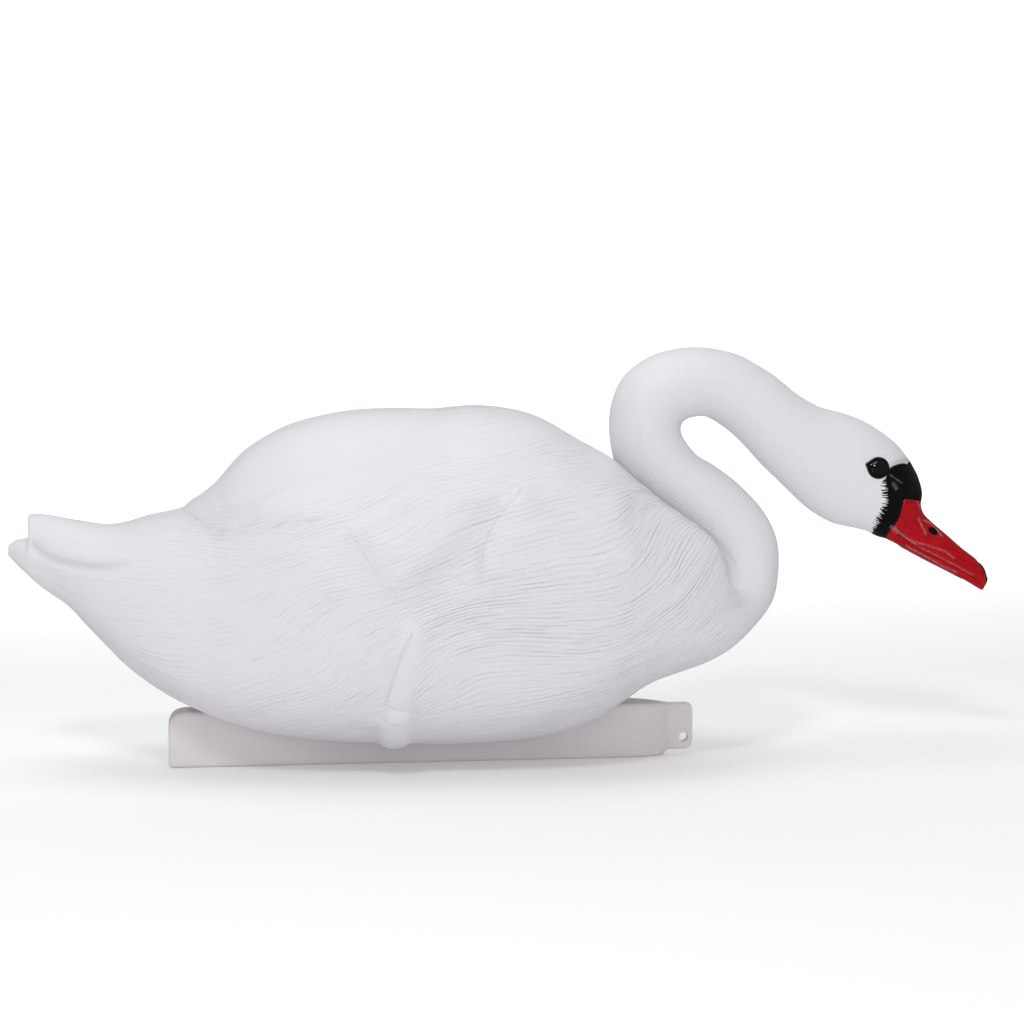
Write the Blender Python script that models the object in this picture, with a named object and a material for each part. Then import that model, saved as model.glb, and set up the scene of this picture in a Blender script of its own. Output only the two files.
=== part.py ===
"""Floating swan decoy, resting on its keel bar.

The swan is one blow-moulded shell: body, wings, tail, neck, head, knob, bill and
eyes. The keel is a second moulded bar whose top fits the belly, with a thin tab and
a line hole at the front. Two screws hold the keel from below.

The frame: the origin is the middle of the keel's resting face, +X runs to the head,
+Y to the swan's left and +Z up. Lengths are in metres.
"""

import math

import bmesh
import bpy
import numpy as np
from mathutils import Vector
from mathutils.bvhtree import BVHTree

MM = 0.001

# Gap between neighbours that rest on each other
SEAT_GAP = 0.3 * MM

# Swan shell: its length from the tail to the bill's tip, its height from the belly to
# the neck's arch, and the height of the belly above the keel's foot
SHELL_LENGTH = 863 * MM
SHELL_HEIGHT = 342 * MM
BELLY_HEIGHT = 18 * MM

# Widths that the section rows below are shares of
BODY_WIDTH = 282 * MM
NECK_WIDTH = 70 * MM
HEAD_WIDTH = 70 * MM
BILL_WIDTH = 36 * MM

# Distance of the shoulders' crest from the neck's side, and its slope widths
SHOULDER_CLEARANCE = 16 * MM
SHOULDER_INNER_SLOPE = 20 * MM
SHOULDER_OUTER_SLOPE = 45 * MM

# Valley along the back between the wings: its half width is a share of the body's
# half width and a constant
VALLEY_WIDTH_SHARE = 0.3
VALLEY_WIDTH_BASE = 6 * MM

# Feather relief: how far each group of feathers stands proud at its edge
PLUMAGE_STEP = 5 * MM
PLUMAGE_FADE = 45 * MM
TAIL_GROOVE_DEPTH = 7 * MM
TAIL_GROOVE_WIDTH = 7 * MM

# Face details
EYE_LENGTH = 21 * MM
EYE_HEIGHT = 17 * MM
EYE_PROUD = 3.2 * MM
NOSTRIL_LENGTH = 9 * MM
NOSTRIL_HEIGHT = 4.5 * MM
NOSTRIL_DEPTH = 1.5 * MM

# Leg relief on each flank
LEG_PROUD = 4 * MM
LEG_HALF_WIDTH = 14 * MM
FOOT_PROUD = 3 * MM
FOOT_HALF_WIDTH = 15 * MM
LEG_SPREAD = 38 * MM

# Keel bar
KEEL_REAR = -216 * MM
KEEL_FRONT = 222 * MM
KEEL_WIDTH = 36 * MM
KEEL_HEIGHT = 48 * MM
KEEL_EDGE_RADIUS = 3.5 * MM
ROUNDING_LIMIT = 0.95
KEEL_REAR_CROWN = 13 * MM
KEEL_NOSE_LENGTH = 30 * MM
NOSE_FLAT_SHARE = 0.8
TAB_REACH = 22 * MM
TAB_THICKNESS = 7 * MM
TAB_LOW = 4 * MM
TAB_HIGH = 46 * MM
TAB_CORNER_RADIUS = 6 * MM
LINE_HOLE_DIAMETER = 8 * MM
LINE_HOLE_INSET = 8 * MM
LINE_HOLE_HEIGHT = 15 * MM

# Keel screws
SCREW_SPACING = 220 * MM
SCREW_SHANK_DIAMETER = 5 * MM
SCREW_SHANK_LENGTH = 42 * MM
SCREW_HEAD_DIAMETER = 10 * MM
SCREW_HEAD_HEIGHT = 3.5 * MM
SCREW_HEAD_TOP_DIAMETER = 7 * MM
SCREW_HEAD_RIM = 1.6 * MM
SCREW_POINT_DIAMETER = 1.2 * MM
SCREW_WELL_DIAMETER = 13 * MM
SCREW_WELL_DEPTH = 8 * MM
SCREW_SLOT_LENGTH = 6 * MM
SCREW_SLOT_WIDTH = 1.4 * MM
SCREW_SLOT_DEPTH = 1.2 * MM

# Mesh fineness of the shell
BODY_RING_SPACING = 14 * MM
NECK_RING_SPACING = 12 * MM
HEAD_RING_SPACING = 6.5 * MM
NECK_RING_POINTS = 26
BODY_RING_POINTS = 2 * NECK_RING_POINTS
KEEL_CORNER_STEPS = 3
KEEL_NOSE_STEPS = 6
EYE_SEGMENTS = 14
NOSTRIL_SEGMENTS = 10
LENS_ROWS = 6
CYLINDER_SIDES = 20
SHARP_ANGLE = math.radians(40)

# The swan's side view is drawn in mm, and stretched to the shell's length and height.
# Each row is one section of the swan, from the tail to the bill: the section's top
# point (x, z) and bottom point (x, z) in mm, its width as a share of the group's
# width, its squareness (2 is an ellipse), the share of its height at which it is
# widest, the depth in mm of the valley along its top, and how far in mm the shoulders
# rise beside the neck, with the direction of that rise in degrees above +X.
BODY_SECTIONS = [
    ((-349, 193), (-350, 184), 0.05, 2.0, 0.50, 0, 0, 50),
    ((-342, 197), (-341, 174), 0.11, 2.2, 0.50, 0, 0, 50),
    ((-332, 200), (-332, 166), 0.17, 2.2, 0.50, 0, 0, 50),
    ((-332, 218), (-327, 161), 0.18, 2.2, 0.45, 0, 0, 50),
    ((-325, 219), (-318, 154), 0.21, 2.2, 0.45, 0, 0, 50),
    ((-296, 215), (-300, 141), 0.31, 2.2, 0.46, 1, 0, 50),
    ((-265, 211), (-280, 120), 0.43, 2.2, 0.47, 2, 0, 50),
    ((-230, 220), (-248, 87), 0.57, 2.2, 0.47, 4, 0, 50),
    ((-196, 231), (-213, 62), 0.68, 2.2, 0.46, 7, 0, 50),
    ((-174, 248), (-185, 48), 0.74, 2.2, 0.45, 9, 0, 50),
    ((-153, 275), (-159, 38), 0.80, 2.2, 0.44, 11, 0, 50),
    ((-118, 299), (-125, 29), 0.88, 2.2, 0.44, 12, 0, 50),
    ((-67, 314), (-73, 22), 0.95, 2.2, 0.44, 12, 0, 50),
    ((-15, 317), (-16, 19), 0.98, 2.2, 0.44, 11, 0, 50),
    ((14, 315), (19, 18), 0.99, 2.2, 0.44, 9, 0, 50),
    ((55, 317), (59, 19), 1.00, 2.2, 0.44, 8, 0, 50),
    ((99, 308), (99, 22), 0.99, 2.2, 0.44, 6, 0, 50),
    ((138, 285), (130, 29), 0.97, 2.25, 0.45, 4, 1, 50),
    ((160, 268), (153, 39), 0.94, 2.3, 0.46, 1, 5, 50),
    ((175, 245), (174, 53), 0.90, 2.3, 0.47, 0, 12, 50),
    ((190, 225), (198, 67), 0.85, 2.3, 0.48, 0, 18, 48),
    ((208, 207), (225, 76), 0.79, 2.3, 0.49, 0, 22, 45),
    ((227, 192), (250, 84), 0.71, 2.3, 0.50, 0, 24, 40),
    ((241, 177), (271, 95), 0.62, 2.3, 0.50, 0, 21, 32),
    ((249, 164), (293, 113), 0.51, 2.2, 0.50, 0, 11, 25),
]
NECK_SECTIONS = [
    ((254, 156), (313, 135), 1.60, 2.1, 0.50, 0, 2, 0),
    ((256, 166), (320, 166), 1.27, 2.0, 0.50, 0, 0, 0),
    ((250, 175), (319, 189), 1.12, 2.0, 0.50, 0, 0, 0),
    ((239, 188), (309, 212), 1.04, 2.0, 0.50, 0, 0, 0),
    ((224, 201), (288, 236), 0.99, 2.0, 0.50, 0, 0, 0),
    ((207, 215), (264, 255), 0.98, 2.0, 0.50, 0, 0, 0),
    ((191, 232), (246, 266), 0.98, 2.0, 0.50, 0, 0, 0),
    ((177, 251), (236, 278), 0.99, 2.0, 0.50, 0, 0, 0),
    ((170, 278), (232, 287), 1.00, 2.0, 0.50, 0, 0, 0),
    ((170, 305), (233, 293), 1.00, 2.0, 0.50, 0, 0, 0),
    ((180, 332), (238, 297), 1.00, 2.0, 0.50, 0, 0, 0),
    ((205, 352), (246, 299), 0.99, 2.0, 0.50, 0, 0, 0),
    ((241, 360), (254, 299), 0.97, 2.0, 0.50, 0, 0, 0),
    ((275, 356), (263, 295), 0.96, 2.0, 0.50, 0, 0, 0),
    ((308, 340), (281, 282), 0.96, 2.0, 0.50, 0, 0, 0),
    ((339, 317), (308, 254), 0.98, 2.0, 0.50, 0, 0, 0),
]
HEAD_SECTIONS = [
    ((358, 307), (329, 234), 0.99, 2.0, 0.50, 0, 0, 0),
    ((377, 302), (349, 216), 1.00, 2.05, 0.50, 0, 0, 0),
    ((396, 295), (370, 204), 1.02, 2.1, 0.50, 0, 0, 0),
    ((413, 285), (391, 199), 1.00, 2.1, 0.48, 0, 0, 0),
    ((426, 275), (406, 195), 0.93, 2.1, 0.46, 0, 0, 0),
    ((435, 265), (415, 191), 0.84, 2.1, 0.44, 0, 0, 0),
    ((442, 255), (420, 189), 0.74, 2.1, 0.42, 0, 0, 0),
    ((448, 243), (422, 188), 0.66, 2.1, 0.42, 0, 0, 0),
    ((451, 232), (424, 187), 0.59, 2.1, 0.44, 0, 0, 0),
]
BILL_SECTIONS = [
    ((450, 222), (426, 186), 1.06, 2.1, 0.46, 0, 0, 0),
    ((452, 214), (430, 184), 1.02, 2.1, 0.42, 0, 0, 0),
    ((461, 204), (441, 178), 0.98, 2.1, 0.40, 0, 0, 0),
    ((474, 193), (458, 169), 0.95, 2.2, 0.40, 0, 0, 0),
    ((489, 180), (478, 159), 0.92, 2.3, 0.42, 0, 0, 0),
    ((502, 170), (493, 151), 0.86, 2.4, 0.46, 0, 0, 0),
    ((509, 163), (503, 145), 0.70, 2.3, 0.50, 0, 0, 0),
    ((513, 154), (508, 142), 0.42, 2.1, 0.50, 0, 0, 0),
]
SHELL_SECTIONS = BODY_SECTIONS + NECK_SECTIONS + HEAD_SECTIONS + BILL_SECTIONS
DRAWN_REAR = min(bottom[0] for _, bottom, *_ in SHELL_SECTIONS)
DRAWN_FRONT = max(top[0] for top, *_ in SHELL_SECTIONS)
DRAWN_BELLY = min(bottom[1] for _, bottom, *_ in SHELL_SECTIONS)
DRAWN_CREST = max(top[1] for top, *_ in SHELL_SECTIONS)

# Side-view lines (x, z in mm) where a group of feathers ends over the next one, each
# from its low end up. The raised side is the head side, on the right of the line.
PLUMAGE_EDGES = [
    [(2, 166), (28, 190), (48, 222), (60, 252)],
    [(-16, 150), (-62, 158), (-92, 178), (-78, 206), (-50, 232)],
    [(-150, 176), (-176, 196), (-166, 226), (-140, 262)],
]
TAIL_GROOVE = [(-333, 193), (-321, 186), (-298, 178), (-276, 174), (-250, 177)]

# Leg relief in side view (x, z in mm), from the thigh down to the foot
LEG_LINE = [(-18, 128), (-21, 112), (-24, 90), (-27, 66), (-27, 48), (-26, 36)]

# Side-view outlines in mm of the painted areas of the head
BLACK_PAINT = [
    (424, 258), (446, 266), (470, 240), (452, 222), (434, 223), (430, 211),
    (424, 201), (412, 180), (402, 186), (412, 205), (414, 222), (417, 240),
]
RED_PAINT = [
    (470, 222), (434, 223), (430, 211), (424, 201), (412, 180), (412, 130), (530, 130), (530, 222),
]

# Eye and nostril in side view: their centres (x, z in mm) from the top of the bill's
# root, and how far they tip from level
BILL_ROOT = BILL_SECTIONS[0][0]
EYE_FROM_BILL_ROOT = (-48, 34)
EYE_TILT = math.radians(-24)
NOSTRIL_FROM_BILL_ROOT = (10, -26)
NOSTRIL_TILT = math.radians(-35)


def from_drawing(place):
    """Side-view place on the swan, in metres, of a drawn place (x, z) in mm."""
    x, z = place
    return (
        x * SHELL_LENGTH / (DRAWN_FRONT - DRAWN_REAR),
        BELLY_HEIGHT + (z - DRAWN_BELLY) * SHELL_HEIGHT / (DRAWN_CREST - DRAWN_BELLY),
    )


def spline(rows, knots, at):
    """Values of a smooth curve through the rows, read at the given knot values."""
    rows = np.asarray(rows, float)
    steps = np.diff(knots)
    slopes = np.diff(rows, axis=0) / steps[:, None]
    tangents = np.empty_like(rows)
    before, after = steps[:-1, None], steps[1:, None]
    tangents[1:-1] = (after * slopes[:-1] + before * slopes[1:]) / (before + after)
    tangents[0], tangents[-1] = slopes[0], slopes[-1]
    span = np.clip(np.searchsorted(knots, at, side="right") - 1, 0, len(steps) - 1)
    width = steps[span][:, None]
    t = ((at - knots[span]) / steps[span])[:, None]
    start, end = rows[span], rows[span + 1]
    pull_start, pull_end = tangents[span] * width, tangents[span + 1] * width
    return (
        (2 * t**3 - 3 * t**2 + 1) * start
        + (t**3 - 2 * t**2 + t) * pull_start
        + (3 * t**2 - 2 * t**3) * end
        + (t**3 - t**2) * pull_end
    )


def section_table():
    """Every section as one row of numbers in metres, shares and radians."""
    groups = [
        (BODY_SECTIONS, BODY_WIDTH),
        (NECK_SECTIONS, NECK_WIDTH),
        (HEAD_SECTIONS, HEAD_WIDTH),
        (BILL_SECTIONS, BILL_WIDTH),
    ]
    rows = []
    for sections, width in groups:
        for top, bottom, share, square, widest, valley, rise, heading in sections:
            rows.append([
                *from_drawing(top), *from_drawing(bottom), share * width / 2,
                square, widest, valley * MM, rise * MM, math.radians(heading),
            ])
    return np.array(rows)


def ring_places(table):
    """Knot value of each section, and of each ring to be drawn, from tail to bill."""
    top_run = np.hypot(*np.diff(table[:, 0:2], axis=0).T)
    bottom_run = np.hypot(*np.diff(table[:, 2:4], axis=0).T)
    run = (top_run + bottom_run) / 2
    knots = np.concatenate([[0], np.cumsum(run)])
    places = [0.0]
    neck_from = len(BODY_SECTIONS)
    head_from = neck_from + len(NECK_SECTIONS)
    for i, length in enumerate(run):
        spacing = HEAD_RING_SPACING
        if i + 1 < neck_from:
            spacing = BODY_RING_SPACING
        elif i + 1 < head_from:
            spacing = NECK_RING_SPACING
        count = max(1, round(length / spacing))
        places.extend(np.linspace(knots[i], knots[i + 1], count + 1)[1:])
    return knots, np.array(places), knots[neck_from]


def ring(row, count):
    """Points of one section: from its top down the left side, and up the right side."""
    top, bottom = row[0:2], row[2:4]
    half_width, square, widest, valley, rise, heading = row[4:10]
    angle = np.linspace(0, 2 * math.pi, count, endpoint=False)
    across = np.sign(np.sin(angle)) * np.abs(np.sin(angle)) ** (2 / square)
    upward = np.sign(np.cos(angle)) * np.abs(np.cos(angle)) ** (2 / square)
    share = (0.5 + 0.5 * upward) ** (math.log(widest) / math.log(0.5))
    axis = top - bottom
    height = np.hypot(*axis)
    y = half_width * across
    valley_half_width = VALLEY_WIDTH_SHARE * half_width + VALLEY_WIDTH_BASE
    drop = valley * np.exp(-(y / valley_half_width) ** 2) * np.clip(upward, 0, 1)
    along = share - drop / height
    off_crest = np.abs(y) - (NECK_WIDTH / 2 + SHOULDER_CLEARANCE)
    slope = np.where(off_crest < 0, SHOULDER_INNER_SLOPE, SHOULDER_OUTER_SLOPE)
    lift = rise * np.exp(-(off_crest / slope) ** 2) * np.sqrt(np.clip(upward, 0, 1))
    x = bottom[0] + axis[0] * along + lift * math.cos(heading)
    z = bottom[1] + axis[1] * along + lift * math.sin(heading)
    return np.column_stack([x, y, z])


def line_distance(points, line):
    """Signed side-view distance of each point to a drawn line, positive on its right."""
    flat = points[:, [0, 2]]
    line = np.array([from_drawing(place) for place in line])
    best = np.full(len(flat), np.inf)
    sign = np.ones(len(flat))
    for start, end in zip(line[:-1], line[1:]):
        run = end - start
        share = np.clip((flat - start) @ run / (run @ run), 0, 1)
        away = flat - (start + share[:, None] * run)
        gap = np.hypot(away[:, 0], away[:, 1])
        nearer = gap < best
        cross = run[1] * away[:, 0] - run[0] * away[:, 1]
        best[nearer] = gap[nearer]
        sign[nearer] = np.where(cross[nearer] >= 0, 1, -1)
    return best * sign


def relief(points):
    """How far the plumage lifts each point of the shell along its normal."""
    lift = np.zeros(len(points))
    for edge in PLUMAGE_EDGES:
        gap = line_distance(points, edge)
        lift += np.where(gap > 0, PLUMAGE_STEP * np.exp(-gap / PLUMAGE_FADE), 0)
    groove = np.abs(line_distance(points, TAIL_GROOVE))
    lift -= TAIL_GROOVE_DEPTH * np.exp(-(groove / TAIL_GROOVE_WIDTH) ** 2)
    outboard = 1 - np.exp(-(points[:, 1] / LEG_SPREAD) ** 4)
    leg = np.abs(line_distance(points, LEG_LINE))
    foot = np.abs(line_distance(points, LEG_LINE[-2:]))
    lift += outboard * LEG_PROUD * np.exp(-(leg / LEG_HALF_WIDTH) ** 4)
    lift += outboard * FOOT_PROUD * np.exp(-(foot / FOOT_HALF_WIDTH) ** 2)
    return lift


def grid_normals(grid):
    """Outward normal at each point of a stack of closed rings."""
    along = np.gradient(grid, axis=0)
    around = np.roll(grid, -1, axis=1) - np.roll(grid, 1, axis=1)
    normal = np.cross(along, around)
    return normal / np.linalg.norm(normal, axis=2, keepdims=True)


def shell_rings(swell=0.0):
    """Rings of the swan from tail to bill, lifted by the plumage and by swell."""
    table = section_table()
    knots, places, neck_start = ring_places(table)
    rows = spline(table, knots, places)
    body = [ring(row, BODY_RING_POINTS) for row in rows[places <= neck_start]]
    neck = [ring(row, NECK_RING_POINTS) for row in rows[places > neck_start]]
    lifted = []
    for grid in (np.array(body), np.array(neck)):
        flat = grid.reshape(-1, 3)
        lift = (relief(flat) + swell).reshape(grid.shape[:2] + (1,))
        lifted.append(grid + grid_normals(grid) * lift)
    return [*lifted[0], *lifted[1]]


def link_object(name, mesh):
    obj = bpy.data.objects.new(name, mesh)
    bpy.context.scene.collection.objects.link(obj)
    return obj


def bridge(bm, ring_a, ring_b):
    """Faces between two rings of vertices, where the second may have half as many."""
    count = len(ring_a)
    if len(ring_b) == count:
        for i in range(count):
            j = (i + 1) % count
            bm.faces.new([ring_a[i], ring_a[j], ring_b[j], ring_b[i]])
        return
    for i in range(len(ring_b)):
        j = (i + 1) % len(ring_b)
        first, middle, last = ring_a[2 * i], ring_a[2 * i + 1], ring_a[(2 * i + 2) % count]
        bm.faces.new([first, middle, ring_b[i]])
        bm.faces.new([middle, ring_b[j], ring_b[i]])
        bm.faces.new([middle, last, ring_b[j]])


def loft_mesh(name, rings):
    """Closed mesh through the rings, with a fan at each end."""
    bm = bmesh.new()
    rows = [[bm.verts.new(point) for point in ring_points] for ring_points in rings]
    for ring_a, ring_b in zip(rows[:-1], rows[1:]):
        bridge(bm, ring_a, ring_b)
    for row in (rows[0], rows[-1]):
        centre = sum((v.co for v in row), Vector()) / len(row)
        hub = bm.verts.new(centre)
        for a, b in zip(row, row[1:] + row[:1]):
            bm.faces.new([a, b, hub])
    bmesh.ops.recalc_face_normals(bm, faces=bm.faces)
    mesh = bpy.data.meshes.new(name)
    bm.to_mesh(mesh)
    bm.free()
    return mesh


def smooth(mesh):
    mesh.shade_smooth()
    mesh.set_sharp_from_angle(angle=SHARP_ANGLE)


def hide_tool(obj):
    obj.hide_render = True
    obj.display_type = "WIRE"


def boolean(obj, tool, operation):
    modifier = obj.modifiers.new(tool.name, "BOOLEAN")
    modifier.operation = operation
    modifier.object = tool
    modifier.solver = "EXACT"


def plain_material(name, colour, roughness):
    material = bpy.data.materials.new(name)
    material.use_nodes = True
    shader = material.node_tree.nodes["Principled BSDF"]
    shader.inputs["Base Color"].default_value = (*colour, 1)
    shader.inputs["Roughness"].default_value = roughness
    shader.inputs["Metallic"].default_value = 0
    return material


def white_plastic():
    return plain_material("white_plastic", (0.75, 0.74, 0.78), 0.45)


def black_gloss_paint():
    return plain_material("black_gloss_paint", (0.006, 0.006, 0.007), 0.12)


def red_gloss_paint():
    return plain_material("red_gloss_paint", (0.36, 0.014, 0.022), 0.15)


def keel_plastic():
    return plain_material("keel_plastic", (0.50, 0.48, 0.51), 0.5)


def zinc_steel():
    material = plain_material("zinc_steel", (0.55, 0.56, 0.58), 0.35)
    material.node_tree.nodes["Principled BSDF"].inputs["Metallic"].default_value = 1
    return material


def inside(outline, x, z):
    """Whether a side-view point lies inside a closed drawn outline."""
    outline = [from_drawing(place) for place in outline]
    found = False
    for (ax, az), (bx, bz) in zip(outline, outline[1:] + outline[:1]):
        crosses = (az > z) != (bz > z)
        if crosses and x < ax + (bx - ax) * (z - az) / (bz - az):
            found = not found
    return found


def paint(mesh):
    """White all over, black round the eye and bill base, red on the bill."""
    for material in (white_plastic(), black_gloss_paint(), red_gloss_paint()):
        mesh.materials.append(material)
    for face in mesh.polygons:
        x, z = face.center.x, face.center.z
        if inside(RED_PAINT, x, z):
            face.material_index = 2
        elif inside(BLACK_PAINT, x, z):
            face.material_index = 1


def surface_point(tree, from_bill_root, side):
    """Where the head's side lies at a place drawn from the bill's root, and its normal."""
    x, z = from_drawing(np.add(BILL_ROOT, from_bill_root))
    start = Vector((x, side * BODY_WIDTH, z))
    point, normal, _, _ = tree.ray_cast(start, Vector((0, -side, 0)))
    return point, normal


def lens_mesh(bm, centre, normal, tilt, size, segments):
    """A flattened ball: size is its length, its height and its thickness."""
    made = bmesh.ops.create_uvsphere(bm, u_segments=segments, v_segments=LENS_ROWS, radius=0.5)
    facing = normal.copy()
    level = Vector((math.cos(tilt), 0, math.sin(tilt)))
    level = (level - facing * level.dot(facing)).normalized()
    upright = facing.cross(level)
    for vertex in made["verts"]:
        length, height, depth = vertex.co.x, vertex.co.y, vertex.co.z
        vertex.co = (
            centre + level * length * size[0] + upright * height * size[1] + facing * depth * size[2]
        )


def screw_places():
    return [("keel_screw_front", SCREW_SPACING / 2), ("keel_screw_rear", -SCREW_SPACING / 2)]


def add_cylinder(bm, x, radius, low, high):
    made = bmesh.ops.create_cone(
        bm, cap_ends=True, segments=CYLINDER_SIDES, radius1=radius, radius2=radius, depth=high - low
    )
    bmesh.ops.translate(bm, verts=made["verts"], vec=(x, 0, (low + high) / 2))


def mesh_from(bm, name):
    bmesh.ops.recalc_face_normals(bm, faces=bm.faces)
    mesh = bpy.data.meshes.new(name)
    bm.to_mesh(mesh)
    bm.free()
    return mesh


def shell_details(tree):
    """Tools that add the eyes, and cut the nostrils and the screws' pilot holes."""
    eyes = bmesh.new()
    cuts = bmesh.new()
    for side in (1, -1):
        point, normal = surface_point(tree, EYE_FROM_BILL_ROOT, side)
        size = (EYE_LENGTH, EYE_HEIGHT, 2 * EYE_PROUD)
        lens_mesh(eyes, point, normal, EYE_TILT, size, EYE_SEGMENTS)
        point, normal = surface_point(tree, NOSTRIL_FROM_BILL_ROOT, side)
        size = (NOSTRIL_LENGTH, NOSTRIL_HEIGHT, 2 * NOSTRIL_DEPTH)
        lens_mesh(cuts, point, normal, NOSTRIL_TILT, size, NOSTRIL_SEGMENTS)
    hole_radius = SCREW_SHANK_DIAMETER / 2 + SEAT_GAP
    hole_top = SCREW_WELL_DEPTH + SCREW_SHANK_LENGTH + SEAT_GAP
    for _, x in screw_places():
        add_cylinder(cuts, x, hole_radius, 0, hole_top)
    tools = []
    for name, bm in (("eyes", eyes), ("nostrils_and_pilot_holes", cuts)):
        tool = link_object(name, mesh_from(bm, name))
        tool.data.materials.append(bpy.data.materials["black_gloss_paint"])
        hide_tool(tool)
        tools.append(tool)
    return tools


def make_shell():
    mesh = loft_mesh("swan_shell", shell_rings())
    paint(mesh)
    smooth(mesh)
    shell = link_object("swan_shell", mesh)
    bm = bmesh.new()
    bm.from_mesh(mesh)
    tree = BVHTree.FromBMesh(bm)
    bm.free()
    for tool, operation in zip(shell_details(tree), ("UNION", "DIFFERENCE")):
        boolean(shell, tool, operation)
        shell.modifiers[-1].material_mode = "TRANSFER"


def keel_ring(x, half_width, low, high, radius):
    """Section of the bar: a rectangle with rounded corners, seen along X."""
    radius = min(radius, half_width * ROUNDING_LIMIT)
    side = half_width - radius
    corners = [(side, high - radius), (-side, high - radius), (-side, low + radius), (side, low + radius)]
    points = []
    for quarter, (y, z) in enumerate(corners):
        for step in range(KEEL_CORNER_STEPS + 1):
            angle = math.pi / 2 * (quarter + step / KEEL_CORNER_STEPS)
            points.append((x, y + radius * math.cos(angle), z + radius * math.sin(angle)))
    return points


def ease(share):
    """0 to 1 with a level start and end."""
    return share * share * (3 - 2 * share)


def rounding(run, radius):
    """Inset of a quarter-round edge at a distance from the end that it rounds."""
    if run >= radius:
        return 0.0
    return radius - math.sqrt(radius**2 - (radius - run) ** 2)


def quarter_runs(radius):
    """Distances from the end at which a quarter-round edge gets its sections."""
    turns = [math.pi / 2 * step / KEEL_CORNER_STEPS for step in range(KEEL_CORNER_STEPS + 1)]
    return [radius * (1 - math.cos(turn)) for turn in turns]


def keel_rings():
    """Sections of the bar from its rounded rear end to the front end of the tab."""
    half, edge, crown = KEEL_WIDTH / 2, KEEL_EDGE_RADIUS, KEEL_REAR_CROWN
    rings = []
    for run in quarter_runs(edge) + quarter_runs(crown)[2:]:
        inset = rounding(run, edge)
        high = KEEL_HEIGHT - rounding(run, crown)
        rings.append(keel_ring(KEEL_REAR + run, half - inset, inset, high, edge))
    for step in range(KEEL_NOSE_STEPS + 1):
        share = step / KEEL_NOSE_STEPS
        x = KEEL_FRONT - KEEL_NOSE_LENGTH * (1 - share)
        narrow = half + (TAB_THICKNESS / 2 - half) * share**2
        low = TAB_LOW * ease(max(0.0, (share - NOSE_FLAT_SHARE) / (1 - NOSE_FLAT_SHARE)))
        high = KEEL_HEIGHT + (TAB_HIGH - KEEL_HEIGHT) * share
        rings.append(keel_ring(x, narrow, low, high, edge))
    for run in reversed(quarter_runs(TAB_CORNER_RADIUS)):
        inset = rounding(run, TAB_CORNER_RADIUS)
        x = KEEL_FRONT + TAB_REACH - run
        rings.append(keel_ring(x, TAB_THICKNESS / 2, TAB_LOW + inset, TAB_HIGH - inset, edge))
    return rings


def keel_cuts():
    """Tool that cuts the screw wells, the shank holes and the line hole."""
    cuts = bmesh.new()
    for _, x in screw_places():
        add_cylinder(cuts, x, SCREW_WELL_DIAMETER / 2, -KEEL_HEIGHT / 2, SCREW_WELL_DEPTH)
        add_cylinder(cuts, x, SCREW_SHANK_DIAMETER / 2 + SEAT_GAP, SCREW_WELL_DEPTH / 2, 1.5 * KEEL_HEIGHT)
    hole = bmesh.ops.create_cone(
        cuts, cap_ends=True, segments=CYLINDER_SIDES, radius1=LINE_HOLE_DIAMETER / 2,
        radius2=LINE_HOLE_DIAMETER / 2, depth=KEEL_WIDTH,
    )
    for vertex in hole["verts"]:
        x, y, z = vertex.co
        vertex.co = (x, z, y)
    place = (KEEL_FRONT + TAB_REACH - LINE_HOLE_INSET, 0, LINE_HOLE_HEIGHT)
    bmesh.ops.translate(cuts, verts=hole["verts"], vec=place)
    return link_object("keel_holes", mesh_from(cuts, "keel_holes"))


def make_keel():
    mesh = loft_mesh("keel", keel_rings())
    mesh.materials.append(keel_plastic())
    smooth(mesh)
    keel = link_object("keel", mesh)
    belly_tool = link_object("belly_clearance", loft_mesh("belly_clearance", shell_rings(SEAT_GAP)))
    for tool in (belly_tool, keel_cuts()):
        hide_tool(tool)
        boolean(keel, tool, "DIFFERENCE")
        keel.modifiers[-1].use_self = tool is not belly_tool


def make_screw(name, x, material):
    """Pan-head screw driven up through the keel into the belly."""
    head_low = SCREW_WELL_DEPTH - SEAT_GAP - SCREW_HEAD_HEIGHT
    head_high = SCREW_WELL_DEPTH - SEAT_GAP
    tip = SCREW_WELL_DEPTH + SCREW_SHANK_LENGTH
    profile = [
        (SCREW_HEAD_TOP_DIAMETER / 2, head_low),
        (SCREW_HEAD_DIAMETER / 2, head_high - SCREW_HEAD_RIM),
        (SCREW_HEAD_DIAMETER / 2, head_high),
        (SCREW_SHANK_DIAMETER / 2, head_high),
        (SCREW_SHANK_DIAMETER / 2, tip - SCREW_SHANK_DIAMETER),
        (SCREW_POINT_DIAMETER / 2, tip),
    ]
    angles = [2 * math.pi * i / CYLINDER_SIDES for i in range(CYLINDER_SIDES)]
    rings = [
        [(x + radius * math.cos(angle), radius * math.sin(angle), z) for angle in angles]
        for radius, z in profile
    ]
    mesh = loft_mesh(name, rings)
    mesh.materials.append(material)
    smooth(mesh)
    screw = link_object(name, mesh)

    slots = bmesh.new()
    long_side, short_side = SCREW_SLOT_LENGTH, SCREW_SLOT_WIDTH
    for sides in ((short_side, long_side), (long_side, short_side)):
        made = bmesh.ops.create_cube(slots, size=1)
        bmesh.ops.scale(slots, verts=made["verts"], vec=(*sides, 2 * SCREW_SLOT_DEPTH))
        bmesh.ops.translate(slots, verts=made["verts"], vec=(x, 0, head_low))
    slot_tool = link_object(name + "_slot", mesh_from(slots, name + "_slot"))
    hide_tool(slot_tool)
    boolean(screw, slot_tool, "DIFFERENCE")
    screw.modifiers[-1].use_self = True


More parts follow.
